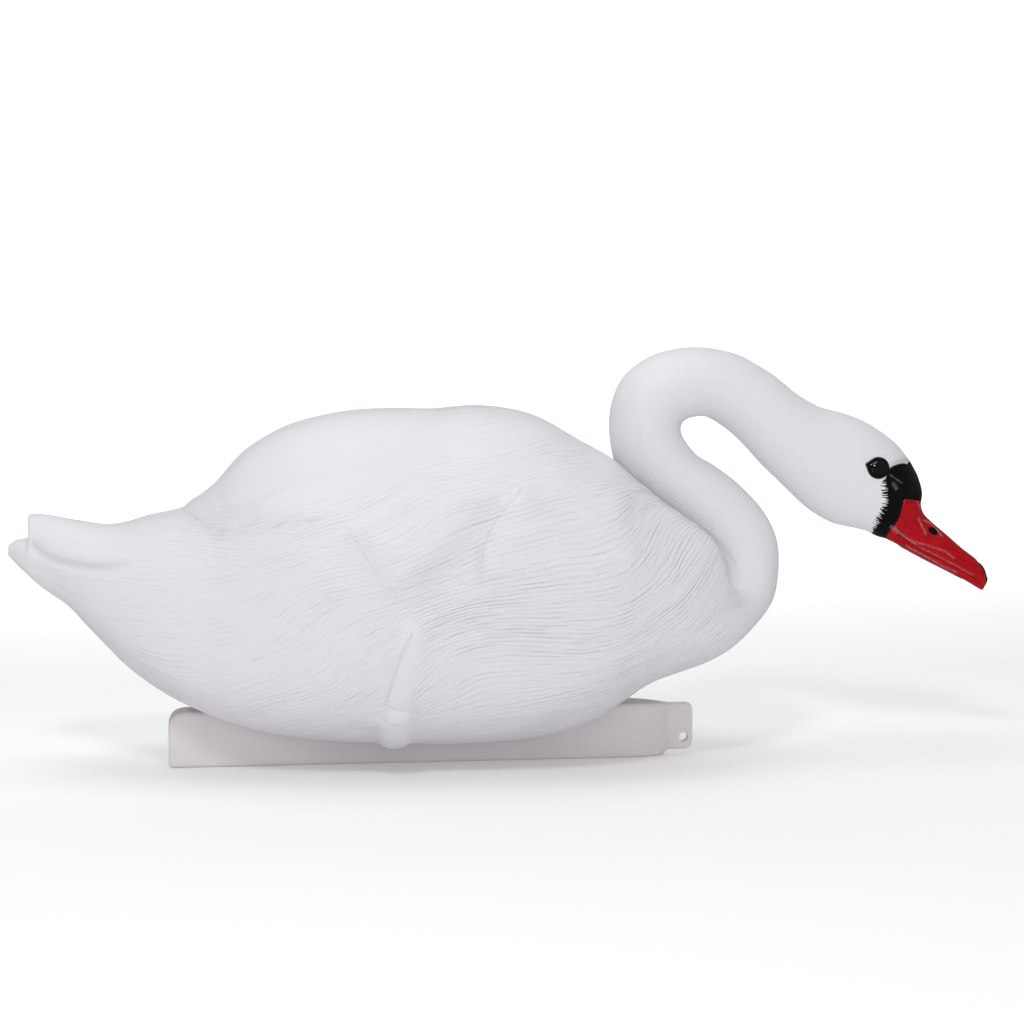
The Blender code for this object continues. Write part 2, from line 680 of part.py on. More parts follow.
def main():
    for obj in list(bpy.data.objects):
        bpy.data.objects.remove(obj, do_unlink=True)
    make_shell()
    make_keel()
    steel = zinc_steel()
    for name, x in screw_places():
        make_screw(name, x, steel)


main()
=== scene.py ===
"""Looks of the floating swan decoy: combed plumage, painted head, keel, floor and light.

Lengths are metres in the row frame: +X to the head, +Y to the swan's left, +Z up, and
the origin in the middle of the keel's foot. Tables marked mm hold millimetres, and
tables marked px hold places in the 1024 by 1024 photograph.
"""

import math

import bpy
import numpy as np
from mathutils import Matrix, Vector
from mathutils.bvhtree import BVHTree


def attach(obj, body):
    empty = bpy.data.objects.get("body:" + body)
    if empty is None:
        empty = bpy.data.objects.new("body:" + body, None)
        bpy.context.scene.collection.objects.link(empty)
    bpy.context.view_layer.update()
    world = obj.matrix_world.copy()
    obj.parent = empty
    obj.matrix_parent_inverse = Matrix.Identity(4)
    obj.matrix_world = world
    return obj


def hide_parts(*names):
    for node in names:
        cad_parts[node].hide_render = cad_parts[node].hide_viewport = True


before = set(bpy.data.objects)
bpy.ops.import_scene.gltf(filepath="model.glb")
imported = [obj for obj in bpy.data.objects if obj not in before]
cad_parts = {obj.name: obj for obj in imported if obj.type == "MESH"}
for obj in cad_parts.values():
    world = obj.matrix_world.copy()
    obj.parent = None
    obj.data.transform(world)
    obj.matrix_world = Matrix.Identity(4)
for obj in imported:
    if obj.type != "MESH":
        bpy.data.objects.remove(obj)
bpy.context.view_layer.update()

MM = 0.001

# Shell widths and relief, the same as in the solids
BODY_WIDTH = 282 * MM
NECK_WIDTH = 70 * MM
HEAD_WIDTH = 70 * MM
BILL_WIDTH = 36 * MM
SHOULDER_CLEARANCE = 16 * MM
SHOULDER_INNER_SLOPE = 20 * MM
SHOULDER_OUTER_SLOPE = 45 * MM
VALLEY_WIDTH_SHARE = 0.3
VALLEY_WIDTH_BASE = 6 * MM
LEG_PROUD = 4 * MM
LEG_HALF_WIDTH = 14 * MM
FOOT_PROUD = 3 * MM
FOOT_HALF_WIDTH = 15 * MM
LEG_SPREAD = 38 * MM

# Fineness of the skin
TAIL_RING_SPACING = 2.2 * MM
BODY_RING_SPACING = 5.2 * MM
LEG_RING_SPACING = 2.4 * MM
NECK_RING_SPACING = 5 * MM
HEAD_RING_SPACING = 2 * MM
FACE_RING_SPACING = 1.1 * MM
BODY_RING_POINTS = 320
NECK_RING_POINTS = 160
TAIL_SECTIONS = 6
LEG_SECTION = 12
SKULL_SECTIONS = 4

# Sections of the shell in mm, the same rows as in the solids: top (x, z), bottom (x, z),
# share of the group's width, squareness, share of the height at which it is widest,
# valley depth, rise of the shoulders and the heading of that rise in degrees
BODY_SECTIONS = [
    ((-349, 193), (-350, 184), 0.05, 2.0, 0.50, 0, 0, 50),
    ((-342, 197), (-341, 174), 0.11, 2.2, 0.50, 0, 0, 50),
    ((-332, 200), (-332, 166), 0.17, 2.2, 0.50, 0, 0, 50),
    ((-332, 218), (-327, 161), 0.18, 2.2, 0.45, 0, 0, 50),
    ((-325, 219), (-318, 154), 0.21, 2.2, 0.45, 0, 0, 50),
    ((-296, 215), (-300, 141), 0.31, 2.2, 0.46, 1, 0, 50),
    ((-265, 211), (-280, 120), 0.43, 2.2, 0.47, 2, 0, 50),
    ((-230, 220), (-248, 87), 0.57, 2.2, 0.47, 4, 0, 50),
    ((-196, 231), (-213, 62), 0.68, 2.2, 0.46, 7, 0, 50),
    ((-174, 248), (-185, 48), 0.74, 2.2, 0.45, 9, 0, 50),
    ((-153, 275), (-159, 38), 0.80, 2.2, 0.44, 11, 0, 50),
    ((-118, 299), (-125, 29), 0.88, 2.2, 0.44, 12, 0, 50),
    ((-67, 314), (-73, 22), 0.95, 2.2, 0.44, 12, 0, 50),
    ((-15, 317), (-16, 19), 0.98, 2.2, 0.44, 11, 0, 50),
    ((14, 315), (19, 18), 0.99, 2.2, 0.44, 9, 0, 50),
    ((55, 317), (59, 19), 1.00, 2.2, 0.44, 8, 0, 50),
    ((99, 308), (99, 22), 0.99, 2.2, 0.44, 6, 0, 50),
    ((138, 285), (130, 29), 0.97, 2.25, 0.45, 4, 1, 50),
    ((160, 268), (153, 39), 0.94, 2.3, 0.46, 1, 5, 50),
    ((175, 245), (174, 53), 0.90, 2.3, 0.47, 0, 12, 50),
    ((190, 225), (198, 67), 0.85, 2.3, 0.48, 0, 18, 48),
    ((208, 207), (225, 76), 0.79, 2.3, 0.49, 0, 22, 45),
    ((227, 192), (250, 84), 0.71, 2.3, 0.50, 0, 24, 40),
    ((241, 177), (271, 95), 0.62, 2.3, 0.50, 0, 21, 32),
    ((249, 164), (293, 113), 0.51, 2.2, 0.50, 0, 11, 25),
]
NECK_SECTIONS = [
    ((254, 156), (313, 135), 1.60, 2.1, 0.50, 0, 2, 0),
    ((256, 166), (320, 166), 1.27, 2.0, 0.50, 0, 0, 0),
    ((250, 175), (319, 189), 1.12, 2.0, 0.50, 0, 0, 0),
    ((239, 188), (309, 212), 1.04, 2.0, 0.50, 0, 0, 0),
    ((224, 201), (288, 236), 0.99, 2.0, 0.50, 0, 0, 0),
    ((207, 215), (264, 255), 0.98, 2.0, 0.50, 0, 0, 0),
    ((191, 232), (246, 266), 0.98, 2.0, 0.50, 0, 0, 0),
    ((177, 251), (236, 278), 0.99, 2.0, 0.50, 0, 0, 0),
    ((170, 278), (232, 287), 1.00, 2.0, 0.50, 0, 0, 0),
    ((170, 305), (233, 293), 1.00, 2.0, 0.50, 0, 0, 0),
    ((180, 332), (238, 297), 1.00, 2.0, 0.50, 0, 0, 0),
    ((205, 352), (246, 299), 0.99, 2.0, 0.50, 0, 0, 0),
    ((241, 360), (254, 299), 0.97, 2.0, 0.50, 0, 0, 0),
    ((275, 356), (263, 295), 0.96, 2.0, 0.50, 0, 0, 0),
    ((308, 340), (281, 282), 0.96, 2.0, 0.50, 0, 0, 0),
    ((339, 317), (308, 254), 0.98, 2.0, 0.50, 0, 0, 0),
]
HEAD_SECTIONS = [
    ((358, 307), (329, 234), 0.99, 2.0, 0.50, 0, 0, 0),
    ((377, 302), (349, 216), 1.00, 2.05, 0.50, 0, 0, 0),
    ((396, 295), (370, 204), 1.02, 2.1, 0.50, 0, 0, 0),
    ((413, 285), (391, 199), 1.00, 2.1, 0.48, 0, 0, 0),
    ((426, 275), (406, 195), 0.93, 2.1, 0.46, 0, 0, 0),
    ((435, 265), (415, 191), 0.84, 2.1, 0.44, 0, 0, 0),
    ((442, 255), (420, 189), 0.74, 2.1, 0.42, 0, 0, 0),
    ((448, 243), (422, 188), 0.66, 2.1, 0.42, 0, 0, 0),
    ((451, 232), (424, 187), 0.59, 2.1, 0.44, 0, 0, 0),
]
BILL_SECTIONS = [
    ((450, 222), (426, 186), 1.06, 2.1, 0.46, 0, 0, 0),
    ((452, 214), (430, 184), 1.02, 2.1, 0.42, 0, 0, 0),
    ((461, 204), (441, 178), 0.98, 2.1, 0.40, 0, 0, 0),
    ((474, 193), (458, 169), 0.95, 2.2, 0.40, 0, 0, 0),
    ((489, 180), (478, 159), 0.92, 2.3, 0.42, 0, 0, 0),
    ((502, 170), (493, 151), 0.86, 2.4, 0.46, 0, 0, 0),
    ((509, 163), (503, 145), 0.70, 2.3, 0.50, 0, 0, 0),
    ((513, 154), (508, 142), 0.42, 2.1, 0.50, 0, 0, 0),
]

# Groove under the tail's upper feathers and the lip below it (px)
TAIL_GROOVE = [(33, 545), (40, 553), (52, 559), (67, 563), (92, 568), (110, 567), (126, 563)]
TAIL_GROOVE_DEPTH = 4 * MM
TAIL_GROOVE_WIDTH = 4.2
TAIL_LIP = [(16, 552), (34, 559), (52, 568), (80, 576), (112, 574)]
TAIL_LIP_HEIGHT = 1.6 * MM
TAIL_LIP_WIDTH = 5.5

# Leg relief in side view, in mm, as in the solids
LEG_LINE = [(-18, 128), (-21, 112), (-24, 90), (-27, 66), (-27, 48), (-26, 36)]

# Edges of feather groups (px) with the height of the step in mm, the length in px over
# which it fades and its softness in px; the raised side is on the left hand of someone
# who walks along
FRONT_WING_EDGE = [(518, 495), (502, 511), (490, 529), (482, 550), (481, 569)]
REAR_WING_EDGE = [(352, 538), (364, 558), (378, 576), (394, 591)]
LOWER_WING_EDGE = [(481, 569), (457, 579), (429, 587), (394, 591)]
RUMP_EDGE = [(186, 505), (192, 517), (204, 527), (228, 533), (252, 533), (276, 526), (306, 520)]
FEATHER_EDGES = [
    (FRONT_WING_EDGE, 5.0, 60, 1.1),
    (REAR_WING_EDGE, 5.0, 55, 6.0),
    (LOWER_WING_EDGE, 1.6, 30, 1.6),
    (RUMP_EDGE, 3.6, 50, 1.6),
    ([(266, 654), (300, 622), (350, 602), (400, 593)], 1.6, 20, 1.6),
    ([(296, 616), (330, 598), (380, 590)], 1.0, 14, 1.6),
    ([(408, 636), (399, 650), (393, 666), (388, 690), (384, 712)], 1.8, 24, 1.4),
    ([(408, 636), (429, 622), (475, 608), (540, 601)], 1.2, 18, 1.6),
]

# Hollows (px) with their depth in mm, half width in px and how much painted shade darkens their colour
HOLLOWS = [
    ([(434, 582), (460, 562), (478, 538), (490, 516)], 4.0, 18, 0.3),
    ([(366, 548), (388, 580)], 0, 13, 0.28),
    ([(200, 512), (216, 520), (250, 515)], 1.2, 12, 0.3),
    ([(616, 461), (643, 488), (653, 496), (693, 523), (717, 539), (736, 563)], 0, 2.5, 0.6),
    ([(742, 575), (742, 604)], 0, 13, 0.3),
    (TAIL_GROOVE, 0, 4, 0.4),
    ([(405, 650), (394, 676), (388, 697)], 0, 3, 0.3),
]
# Spots that are smoothed over (px), and how far
RELAXED_SPOTS = [((746, 602), 17), ((29, 563), 12)]
RELAX_ROUNDS = 40

# Painted areas of the head (px)
BLACK_PAINT = [
    (907, 464), (910, 460), (930, 458), (934, 500), (920, 512), (905, 540), (884, 548), (866, 540),
    (874, 531), (878, 526), (882, 519), (886, 512), (888, 505), (889, 497), (888, 489), (887, 480),
    (887, 472), (890, 468), (893, 466), (898, 464), (904, 463),
]
# Brushed edge of the black paint behind the lores (px)
BRUSHED_EDGE = [
    (887, 474), (888, 489), (889, 497), (888, 505), (886, 512), (882, 519), (878, 526), (872, 533),
]
RED_PAINT = [
    (904, 499), (912, 500), (920, 501), (940, 494), (1010, 540), (1010, 610), (975, 610),
    (884, 548), (887, 535), (892, 528), (897, 522), (900, 516), (902, 508),
]
NOSTRIL = ((933, 531), (5.6, 3.2), math.radians(36))
OVERSPRAY = ([(889, 469), (897, 463), (909, 459)], 3.5)
NAIL_EDGE = [(978, 561), (983, 568), (987, 576), (987, 588), (979, 594)]
NAIL_WIDTH = 1.1
# Longest brush stroke at the rear edge of the black paint (px)
BRUSH_REACH = 7.5

# Broad relief of the face (px) with height in mm and half width in px
FACE_RELIEF = [
    ([(889, 474), (895, 481), (901, 486), (904, 491), (904, 499)], -1.5, 1.8),
    ([(904, 499), (902, 508), (900, 516), (897, 522), (892, 528), (887, 535)], -0.8, 1.6),
    ([(893, 529), (909, 544), (924, 552), (954, 567), (979, 583)], -0.7, 1.6),
    ([(978, 561), (983, 568), (986, 577), (985, 588)], -0.6, 1.2),
    ([(887, 481), (890, 494), (890, 507), (885, 520), (878, 533)], 1.3, 5.5),
    ([(905, 547), (925, 558), (942, 567), (962, 577)], 0.7, 2.0),
]
# Fine ridges and grooves (px) of the face, the leg and the feathers, with height in mm and
# half width in px
# On the painted face the raised lines also get a painted highlight in the colour.
FINE_LINES = [
    ([(893, 529), (900, 537), (909, 544), (924, 552), (937, 558), (954, 567), (969, 575), (979, 583)],
     -0.8, 0.9),
    ([(894, 527), (903, 536), (920, 547.5), (945, 560), (972, 574.5)], 0.6, 0.9),
    ([(898, 531), (908, 539), (916, 542.5), (930, 546), (945, 551), (954, 558)], 0.6, 1.0),
    ([(906, 546), (925, 556), (942, 566), (956, 572)], 0.6, 1.1),
    ([(918.5, 518), (922, 526), (926, 534)], 0.9, 0.9),
    ([(924, 520.5), (930, 522), (935, 527.5), (942, 536)], 0.9, 0.9),
    ([(890.5, 526.5), (898, 533)], 1.0, 1.3),
    ([(917.5, 502), (922, 510)], 0.8, 0.9),
    ([(890, 474.5), (896, 479), (901.5, 483)], 0.5, 0.8),
    ([(893, 483), (897, 489.5)], 0.7, 1.6),
    ([(904, 499), (902, 508), (900, 516), (897, 522), (892, 528)], -0.5, 0.8),
    ([(904, 499.5), (912, 500.5), (919, 502.5)], -0.5, 0.8),
    ([(410, 638), (401, 655), (393, 676), (387, 698)], -0.7, 1.4),
    ([(384, 705), (394, 709.5), (404, 712), (417, 713)], -0.5, 1.3),
    ([(382, 720), (392, 725.5), (406, 728.5)], -0.5, 1.3),
    ([(405, 729), (412, 738)], -0.4, 1.2),
    (FRONT_WING_EDGE, -0.6, 1.3),
    (LOWER_WING_EDGE, -0.35, 1.3),
    (REAR_WING_EDGE, -0.35, 1.5),
    (RUMP_EDGE[1:], -0.5, 1.6),
]
FINE_END_FADE = 0.08
HEEL = ((374, 722), 9)
HEEL_LIFT = 2.0 * MM
KNOB_CENTRE = (905, 480)
KNOB_REACH = 14
KNOB_LIFT = 1.9 * MM
NOSTRIL_DEPTH = 1.3 * MM
NOSTRIL_RIM_LIFT = 0.4 * MM

# Eye in px: the round of its lids, their two corners, and the dome of the pupil
EYE_CENTRE = (878.3, 468)
EYE_RADIUS = 11.1
EYE_CORNERS = [(864.9, 463.7), (891, 473.5)]
PUPIL_RADIUS = 7.4
PUPIL_PROUD = 3.6 * MM
EYE_RIM_LIFT = 1.2 * MM
EYE_RIM_WIDTH = 1.5
EYE_SEAT = 0.2 * MM
EYE_EDGE_TUCK = 0.8 * MM
EYE_RINGS = 24
EYE_STEPS = 48

# Field of directions that the plumage follows
FIELD_REACH = 75 * MM
FIELD_SPACING = 55 * MM
FIELD_STIFFNESS = 0.004
SHORTEST_RUN = 4 * MM

# Plumage relief of the skin, with the cells of its noise in mm along, across and sideways
EDGE_END_FADE = 0.12
EDGE_WAVE = 4
EDGE_WAVE_LENGTH = 34 * MM
CLUMP_LIFT = 0.7 * MM
CLUMP_CELL = np.array([95, 17, 90])
STRAND_LIFT = 0.3 * MM
STRAND_CELL = np.array([70, 9, 60])
NECK_COMB = 0.2
NECK_STROKE_RATE = 5
COMB_PAUSE = 22 * MM

# Where the combing is deepest (mm), and where it is smooth: the back's hump (mm), the tail,
# the underside, the legs (mm), the slope behind the front wing and the neck's foot (px)
COMB_FLOOR = 0.55
DEEP_SPOT = ((120, 150), (190, 90))
BACK_SPOT = ((-90, 310), (120, 62))
TAIL_BEFORE, TAIL_FADE = -245, 16
TAIL_ABOVE, TAIL_EDGE = 183, 5
UNDER_BELOW, UNDER_FADE = 30, 9
SMOOTH_LEG_REACH = 12
SMOOTH_SLOPE = ([(366, 556), (386, 578)], 12)
SMOOTH_NECK_FOOT = ([(734, 585), (738, 625)], 14)
SMOOTH_SHARES = (0.8, 0.9, 0.6, 0.85, 0.8, 0.7)

# Camera: it looks at the keel from the swan's right side
CAMERA_LENS = 85.0
SENSOR_WIDTH = 36.0
CAMERA_ELEVATION = math.radians(4.5)
CAMERA_YAW = math.radians(7.4)
CAMERA_DISTANCE = 2.1
PHOTO_SIZE = 1024
PHOTO_FOCUS = PHOTO_SIZE * CAMERA_LENS / SENSOR_WIDTH
KEEL_PIXEL = (420, 763)
KEEL_POINT = np.array([0, -19 * MM, 0])

# Soft studio light: place, width and power of each lamp, and whether gloss mirrors it
WORLD_STRENGTH = 0.43
MIRRORED_WORLD_STRENGTH = 0.08
LIGHT_AIM = (0.08, 0, 0.2)
LIGHTS = [
    ("key", (-0.5, -1.9, 1.9), 0.4, 15, True),
    ("fill", (0.05, -2.6, 0.7), 1.6, 11.5, False),
    ("top", (-0.2, 0.1, 2.4), 1.7, 16, True),
]

# Lines of the combed plumage (px), each drawn from the head side to the tail side
COMB_STROKES = [
    [(487, 435), (455, 437), (430, 450), (402, 462)],
    [(422, 456), (365, 482), (312, 507)],
    [(305, 485), (272, 502), (237, 515)],
    [(365, 427), (330, 447), (290, 462)],
    [(580, 450), (550, 452), (515, 465), (465, 475), (427, 480)],
    [(605, 462), (565, 464), (535, 472), (490, 485), (440, 492), (390, 500)],
    [(390, 500), (345, 522), (315, 530)],
    [(440, 510), (410, 527), (390, 545)],
    [(507, 505), (477, 515), (452, 530), (427, 550), (402, 565)],
    [(637, 485), (590, 500), (540, 520), (502, 540), (480, 550)],
    [(640, 496), (620, 512), (580, 526), (540, 540), (490, 555), (460, 573), (415, 587)],
    [(654, 512), (640, 528), (620, 548), (590, 562), (560, 570), (490, 576), (440, 581)],
    [(668, 518), (656, 536), (648, 556), (630, 572), (600, 584), (565, 588), (515, 591), (465, 597)],
    [(465, 597), (415, 607), (377, 625), (352, 640)],
    [(684, 528), (672, 552), (660, 570), (644, 590), (620, 602), (580, 606)],
    [(702, 544), (688, 564), (672, 588), (656, 604), (636, 616), (600, 622)],
    [(720, 554), (708, 576), (692, 600), (672, 618), (650, 632), (620, 640), (580, 642)],
    [(734, 576), (720, 598), (704, 616), (684, 632), (660, 650), (630, 662)],
    [(740, 620), (720, 640), (690, 660), (650, 676)],
    [(617, 600), (567, 603), (517, 597), (467, 603), (433, 613), (410, 630)],
    [(600, 650), (557, 643), (517, 633), (470, 633), (433, 647)],
    [(610, 660), (567, 663), (517, 657), (483, 663), (450, 683), (433, 697)],
    [(600, 675), (533, 693), (467, 703), (423, 713)],
    [(583, 695), (533, 710), (483, 722), (430, 728)],
    [(352, 575), (315, 580), (285, 590), (252, 603), (215, 613)],
    [(390, 587), (352, 591), (320, 600), (295, 618)],
    [(395, 595), (360, 604), (335, 620), (305, 640), (275, 652)],
    [(397, 627), (363, 643), (337, 667), (317, 683), (285, 697)],
    [(397, 647), (367, 667), (347, 687), (320, 703), (280, 712)],
    [(283, 617), (250, 633), (217, 647), (183, 652)],
    [(260, 563), (200, 567), (167, 572), (117, 568), (83, 567)],
    [(250, 547), (217, 551), (180, 553), (140, 556)],
    [(175, 590), (143, 594), (117, 592), (93, 585), (67, 579), (42, 570)],
    [(150, 613), (130, 616), (108, 612), (83, 602)],
    [(260, 590), (208, 598), (183, 610), (150, 626), (127, 627)],
    [(260, 643), (217, 657), (183, 658), (143, 648)],
    [(260, 673), (217, 682), (180, 680), (160, 672)],
    [(120, 530), (90, 526), (60, 522), (40, 518)],
    [(560, 432), (520, 437), (480, 452)],
    [(500, 420), (460, 432), (415, 452)],
    [(430, 430), (385, 452), (350, 471), (300, 493)],
    [(395, 418), (350, 440), (300, 465), (262, 484)],
    [(350, 415), (310, 434), (270, 457), (235, 482)],
    [(300, 426), (262, 448), (225, 476), (198, 500)],
]


def photo_axes():
    """View direction, right and up of the camera."""
    yaw, rise = CAMERA_YAW, CAMERA_ELEVATION
    ahead = np.array([math.sin(yaw) * math.cos(rise), math.cos(yaw) * math.cos(rise), -math.sin(rise)])
    right = np.array([math.cos(yaw), -math.sin(yaw), 0])
    return ahead, right, np.cross(right, ahead)


def camera_place():
    ahead, right, up = photo_axes()
    half = PHOTO_SIZE / 2
    across = (KEEL_PIXEL[0] - half) / PHOTO_FOCUS
    above = (half - KEEL_PIXEL[1]) / PHOTO_FOCUS
    return KEEL_POINT - CAMERA_DISTANCE * (ahead + across * right + above * up)


def photo_pixels(points):
    """Where the camera sees each point, in photo pixels."""
    ahead, right, up = photo_axes()
    away = points - camera_place()
    depth = away @ ahead
    half = PHOTO_SIZE / 2
    return np.column_stack([
        half + PHOTO_FOCUS * (away @ right) / depth,
        half - PHOTO_FOCUS * (away @ up) / depth,
    ])


def side_pixels(points):
    """Where the photo shows each point, with the left half mirrored onto the right."""
    return photo_pixels(points * np.where(points[:, 1:2] > 0, [1, -1, 1], 1))


def spline(rows, knots, at):
    """Values of a smooth curve through the rows, read at the given knot values."""
    rows = np.asarray(rows, float)
    steps = np.diff(knots)
    slopes = np.diff(rows, axis=0) / steps[:, None]
    tangents = np.empty_like(rows)
    before, after = steps[:-1, None], steps[1:, None]
    tangents[1:-1] = (after * slopes[:-1] + before * slopes[1:]) / (before + after)
    tangents[0], tangents[-1] = slopes[0], slopes[-1]
    span = np.clip(np.searchsorted(knots, at, side="right") - 1, 0, len(steps) - 1)
    width = steps[span][:, None]
    t = ((at - knots[span]) / steps[span])[:, None]
    start, end = rows[span], rows[span + 1]
    pull_start, pull_end = tangents[span] * width, tangents[span + 1] * width
    return (
        (2 * t**3 - 3 * t**2 + 1) * start
        + (t**3 - 2 * t**2 + t) * pull_start
        + (3 * t**2 - 2 * t**3) * end
        + (t**3 - t**2) * pull_end
    )


def section_table():
    """Every section as one row of numbers in metres, shares and radians."""
    groups = [
        (BODY_SECTIONS, BODY_WIDTH),
        (NECK_SECTIONS, NECK_WIDTH),
        (HEAD_SECTIONS, HEAD_WIDTH),
        (BILL_SECTIONS, BILL_WIDTH),
    ]
    rows = []
    for sections, width in groups:
        for top, bottom, share, square, widest, valley, rise, heading in sections:
            rows.append([
                top[0] * MM, top[1] * MM, bottom[0] * MM, bottom[1] * MM,
                share * width / 2, square, widest, valley * MM, rise * MM, math.radians(heading),
            ])
    return np.array(rows)


def ring_places(table):
    """Knot value of each section and of each ring, and where the neck and head start."""
    top_run = np.hypot(*np.diff(table[:, 0:2], axis=0).T)
    bottom_run = np.hypot(*np.diff(table[:, 2:4], axis=0).T)
    run = (top_run + bottom_run) / 2
    knots = np.concatenate([[0], np.cumsum(run)])
    neck_from = len(BODY_SECTIONS)
    head_from = neck_from + len(NECK_SECTIONS)
    places = [0.0]
    for i, length in enumerate(run):
        spacing = FACE_RING_SPACING
        if i < TAIL_SECTIONS:
            spacing = TAIL_RING_SPACING
        elif i == LEG_SECTION:
            spacing = LEG_RING_SPACING
        elif i + 1 < neck_from:
            spacing = BODY_RING_SPACING
        elif i + 1 < head_from:
            spacing = NECK_RING_SPACING
        elif i + 1 < head_from + SKULL_SECTIONS:
            spacing = HEAD_RING_SPACING
        count = max(1, round(length / spacing))
        places.extend(np.linspace(knots[i], knots[i + 1], count + 1)[1:])
    return knots, np.array(places), knots[neck_from]


def ring(row, count):
    """Points of one section: from its top down the left side, and up the right side."""
    top, bottom = row[0:2], row[2:4]
    half_width, square, widest, valley, rise, heading = row[4:10]
    angle = np.linspace(0, 2 * math.pi, count, endpoint=False)
    across = np.sign(np.sin(angle)) * np.abs(np.sin(angle)) ** (2 / square)
    upward = np.sign(np.cos(angle)) * np.abs(np.cos(angle)) ** (2 / square)
    share = (0.5 + 0.5 * upward) ** (math.log(widest) / math.log(0.5))
    axis = top - bottom
    height = np.hypot(*axis)
    y = half_width * across
    valley_half_width = VALLEY_WIDTH_SHARE * half_width + VALLEY_WIDTH_BASE
    drop = valley * np.exp(-(y / valley_half_width) ** 2) * np.clip(upward, 0, 1)
    along = share - drop / height
    off_crest = np.abs(y) - (NECK_WIDTH / 2 + SHOULDER_CLEARANCE)
    slope = np.where(off_crest < 0, SHOULDER_INNER_SLOPE, SHOULDER_OUTER_SLOPE)
    lift = rise * np.exp(-(off_crest / slope) ** 2) * np.sqrt(np.clip(upward, 0, 1))
    x = bottom[0] + axis[0] * along + lift * math.cos(heading)
    z = bottom[1] + axis[1] * along + lift * math.sin(heading)
    return np.column_stack([x, y, z])


def line_place(flat, line):
    """Signed distance of flat points to a line, and the nearest place along it.

    On a drawing whose second axis points down, as in the photo, the distance is positive
    on the left hand of someone who walks along the line. The place runs from 0 to 1, and
    goes on past either end of the line.
    """
    line = np.asarray(line, float)
    lengths = np.hypot(*np.diff(line, axis=0).T)
    begun = np.concatenate([[0], np.cumsum(lengths)])
    best = np.full(len(flat), np.inf)
    signed = np.zeros(len(flat))
    place = np.zeros(len(flat))
    for i, (start, end) in enumerate(zip(line[:-1], line[1:])):
        run = end - start
        free = (flat - start) @ run / (run @ run)
        share = np.clip(free, 0, 1)
        away = flat - (start + share[:, None] * run)
        gap = np.hypot(away[:, 0], away[:, 1])
        nearer = gap < best
        cross = run[1] * away[:, 0] - run[0] * away[:, 1]
        best[nearer] = gap[nearer]
        signed[nearer] = (gap * np.where(cross >= 0, 1, -1))[nearer]
        low = -np.inf if i == 0 else 0
        high = np.inf if i == len(lengths) - 1 else 1
        place[nearer] = (begun[i] + np.clip(free, low, high) * lengths[i])[nearer] / begun[-1]
    return signed, place


def line_distance(flat, line):
    """Signed distance of flat points to a line."""
    return line_place(flat, line)[0]


def outline_distance(flat, outline):
    """Signed distance of flat points to a closed outline, positive inside."""
    gap = np.abs(line_distance(flat, outline + outline[:1]))
    inside = np.zeros(len(flat), bool)
    corners = np.asarray(outline, float)
    for (ax, az), (bx, bz) in zip(corners, np.roll(corners, -1, axis=0)):
        if az == bz:
            continue
        crosses = (az > flat[:, 1]) != (bz > flat[:, 1])
        inside ^= crosses & (flat[:, 0] < ax + (bx - ax) * (flat[:, 1] - az) / (bz - az))
    return np.where(inside, gap, -gap)


def ellipse_distance(flat, ellipse):
    """Rough signed distance of flat points to a tipped ellipse, positive inside."""
    centre, (half_length, half_height), tilt = ellipse
    away = flat - np.array(centre)
    level = away[:, 0] * math.cos(tilt) + away[:, 1] * math.sin(tilt)
    upright = away[:, 1] * math.cos(tilt) - away[:, 0] * math.sin(tilt)
    return (1 - np.hypot(level / half_length, upright / half_height)) * half_height


def lattice_noise(points, seed=0):
    """Smooth noise from -1 to 1 at points given in cells."""
    cell = np.floor(points).astype(np.int64)
    part = points - cell
    ease = part * part * (3 - 2 * part)
    total = np.zeros(len(points))
    for corner in np.ndindex(2, 2, 2):
        place = (cell + np.array(corner)).astype(np.uint32)
        mixed = place[:, 0] * np.uint32(73856093) ^ place[:, 1] * np.uint32(19349663)
        mixed ^= place[:, 2] * np.uint32(83492791) ^ np.uint32(seed * 2654435761 % 2**32)
        mixed ^= mixed >> np.uint32(13)
        mixed *= np.uint32(1274126177)
        mixed ^= mixed >> np.uint32(16)
        value = (mixed & np.uint32(0xFFFF)).astype(float) / 32767.5 - 1
        weight = np.ones(len(points))
        for axis, side in enumerate(corner):
            weight *= ease[:, axis] if side else 1 - ease[:, axis]
        total += weight * value
    return total


def grid_normals(grid):
    """Outward normal at each point of a stack of closed rings."""
    along = np.gradient(grid, axis=0)
    around = np.roll(grid, -1, axis=1) - np.roll(grid, 1, axis=1)
    normal = np.cross(along, around)
    return normal / np.maximum(np.linalg.norm(normal, axis=2, keepdims=True), 1e-12)


class Skin:
    """Grid of the shell's surface with its coordinates along and up the flank."""

    def __init__(self, rows, places, count):
        self.grid = np.array([ring(row, count) for row in rows])
        self.shape = self.grid.shape[:2]
        step = np.linalg.norm(self.grid - np.roll(self.grid, 1, axis=1), axis=2)
        half = count // 2
        up_left = np.cumsum(step[:, 1:half + 1][:, ::-1], axis=1)[:, ::-1]
        flank = np.zeros(self.shape)
        flank[:, :half] = up_left
        flank[:, half + 1:] = up_left[:, 1:][:, ::-1]
        self.flank = flank.ravel()
        self.along = np.repeat(places, count)

    @property
    def points(self):
        return self.grid.reshape(-1, 3)

    def move(self, lift):
        self.grid = self.grid + grid_normals(self.grid) * lift.reshape(self.shape + (1,))


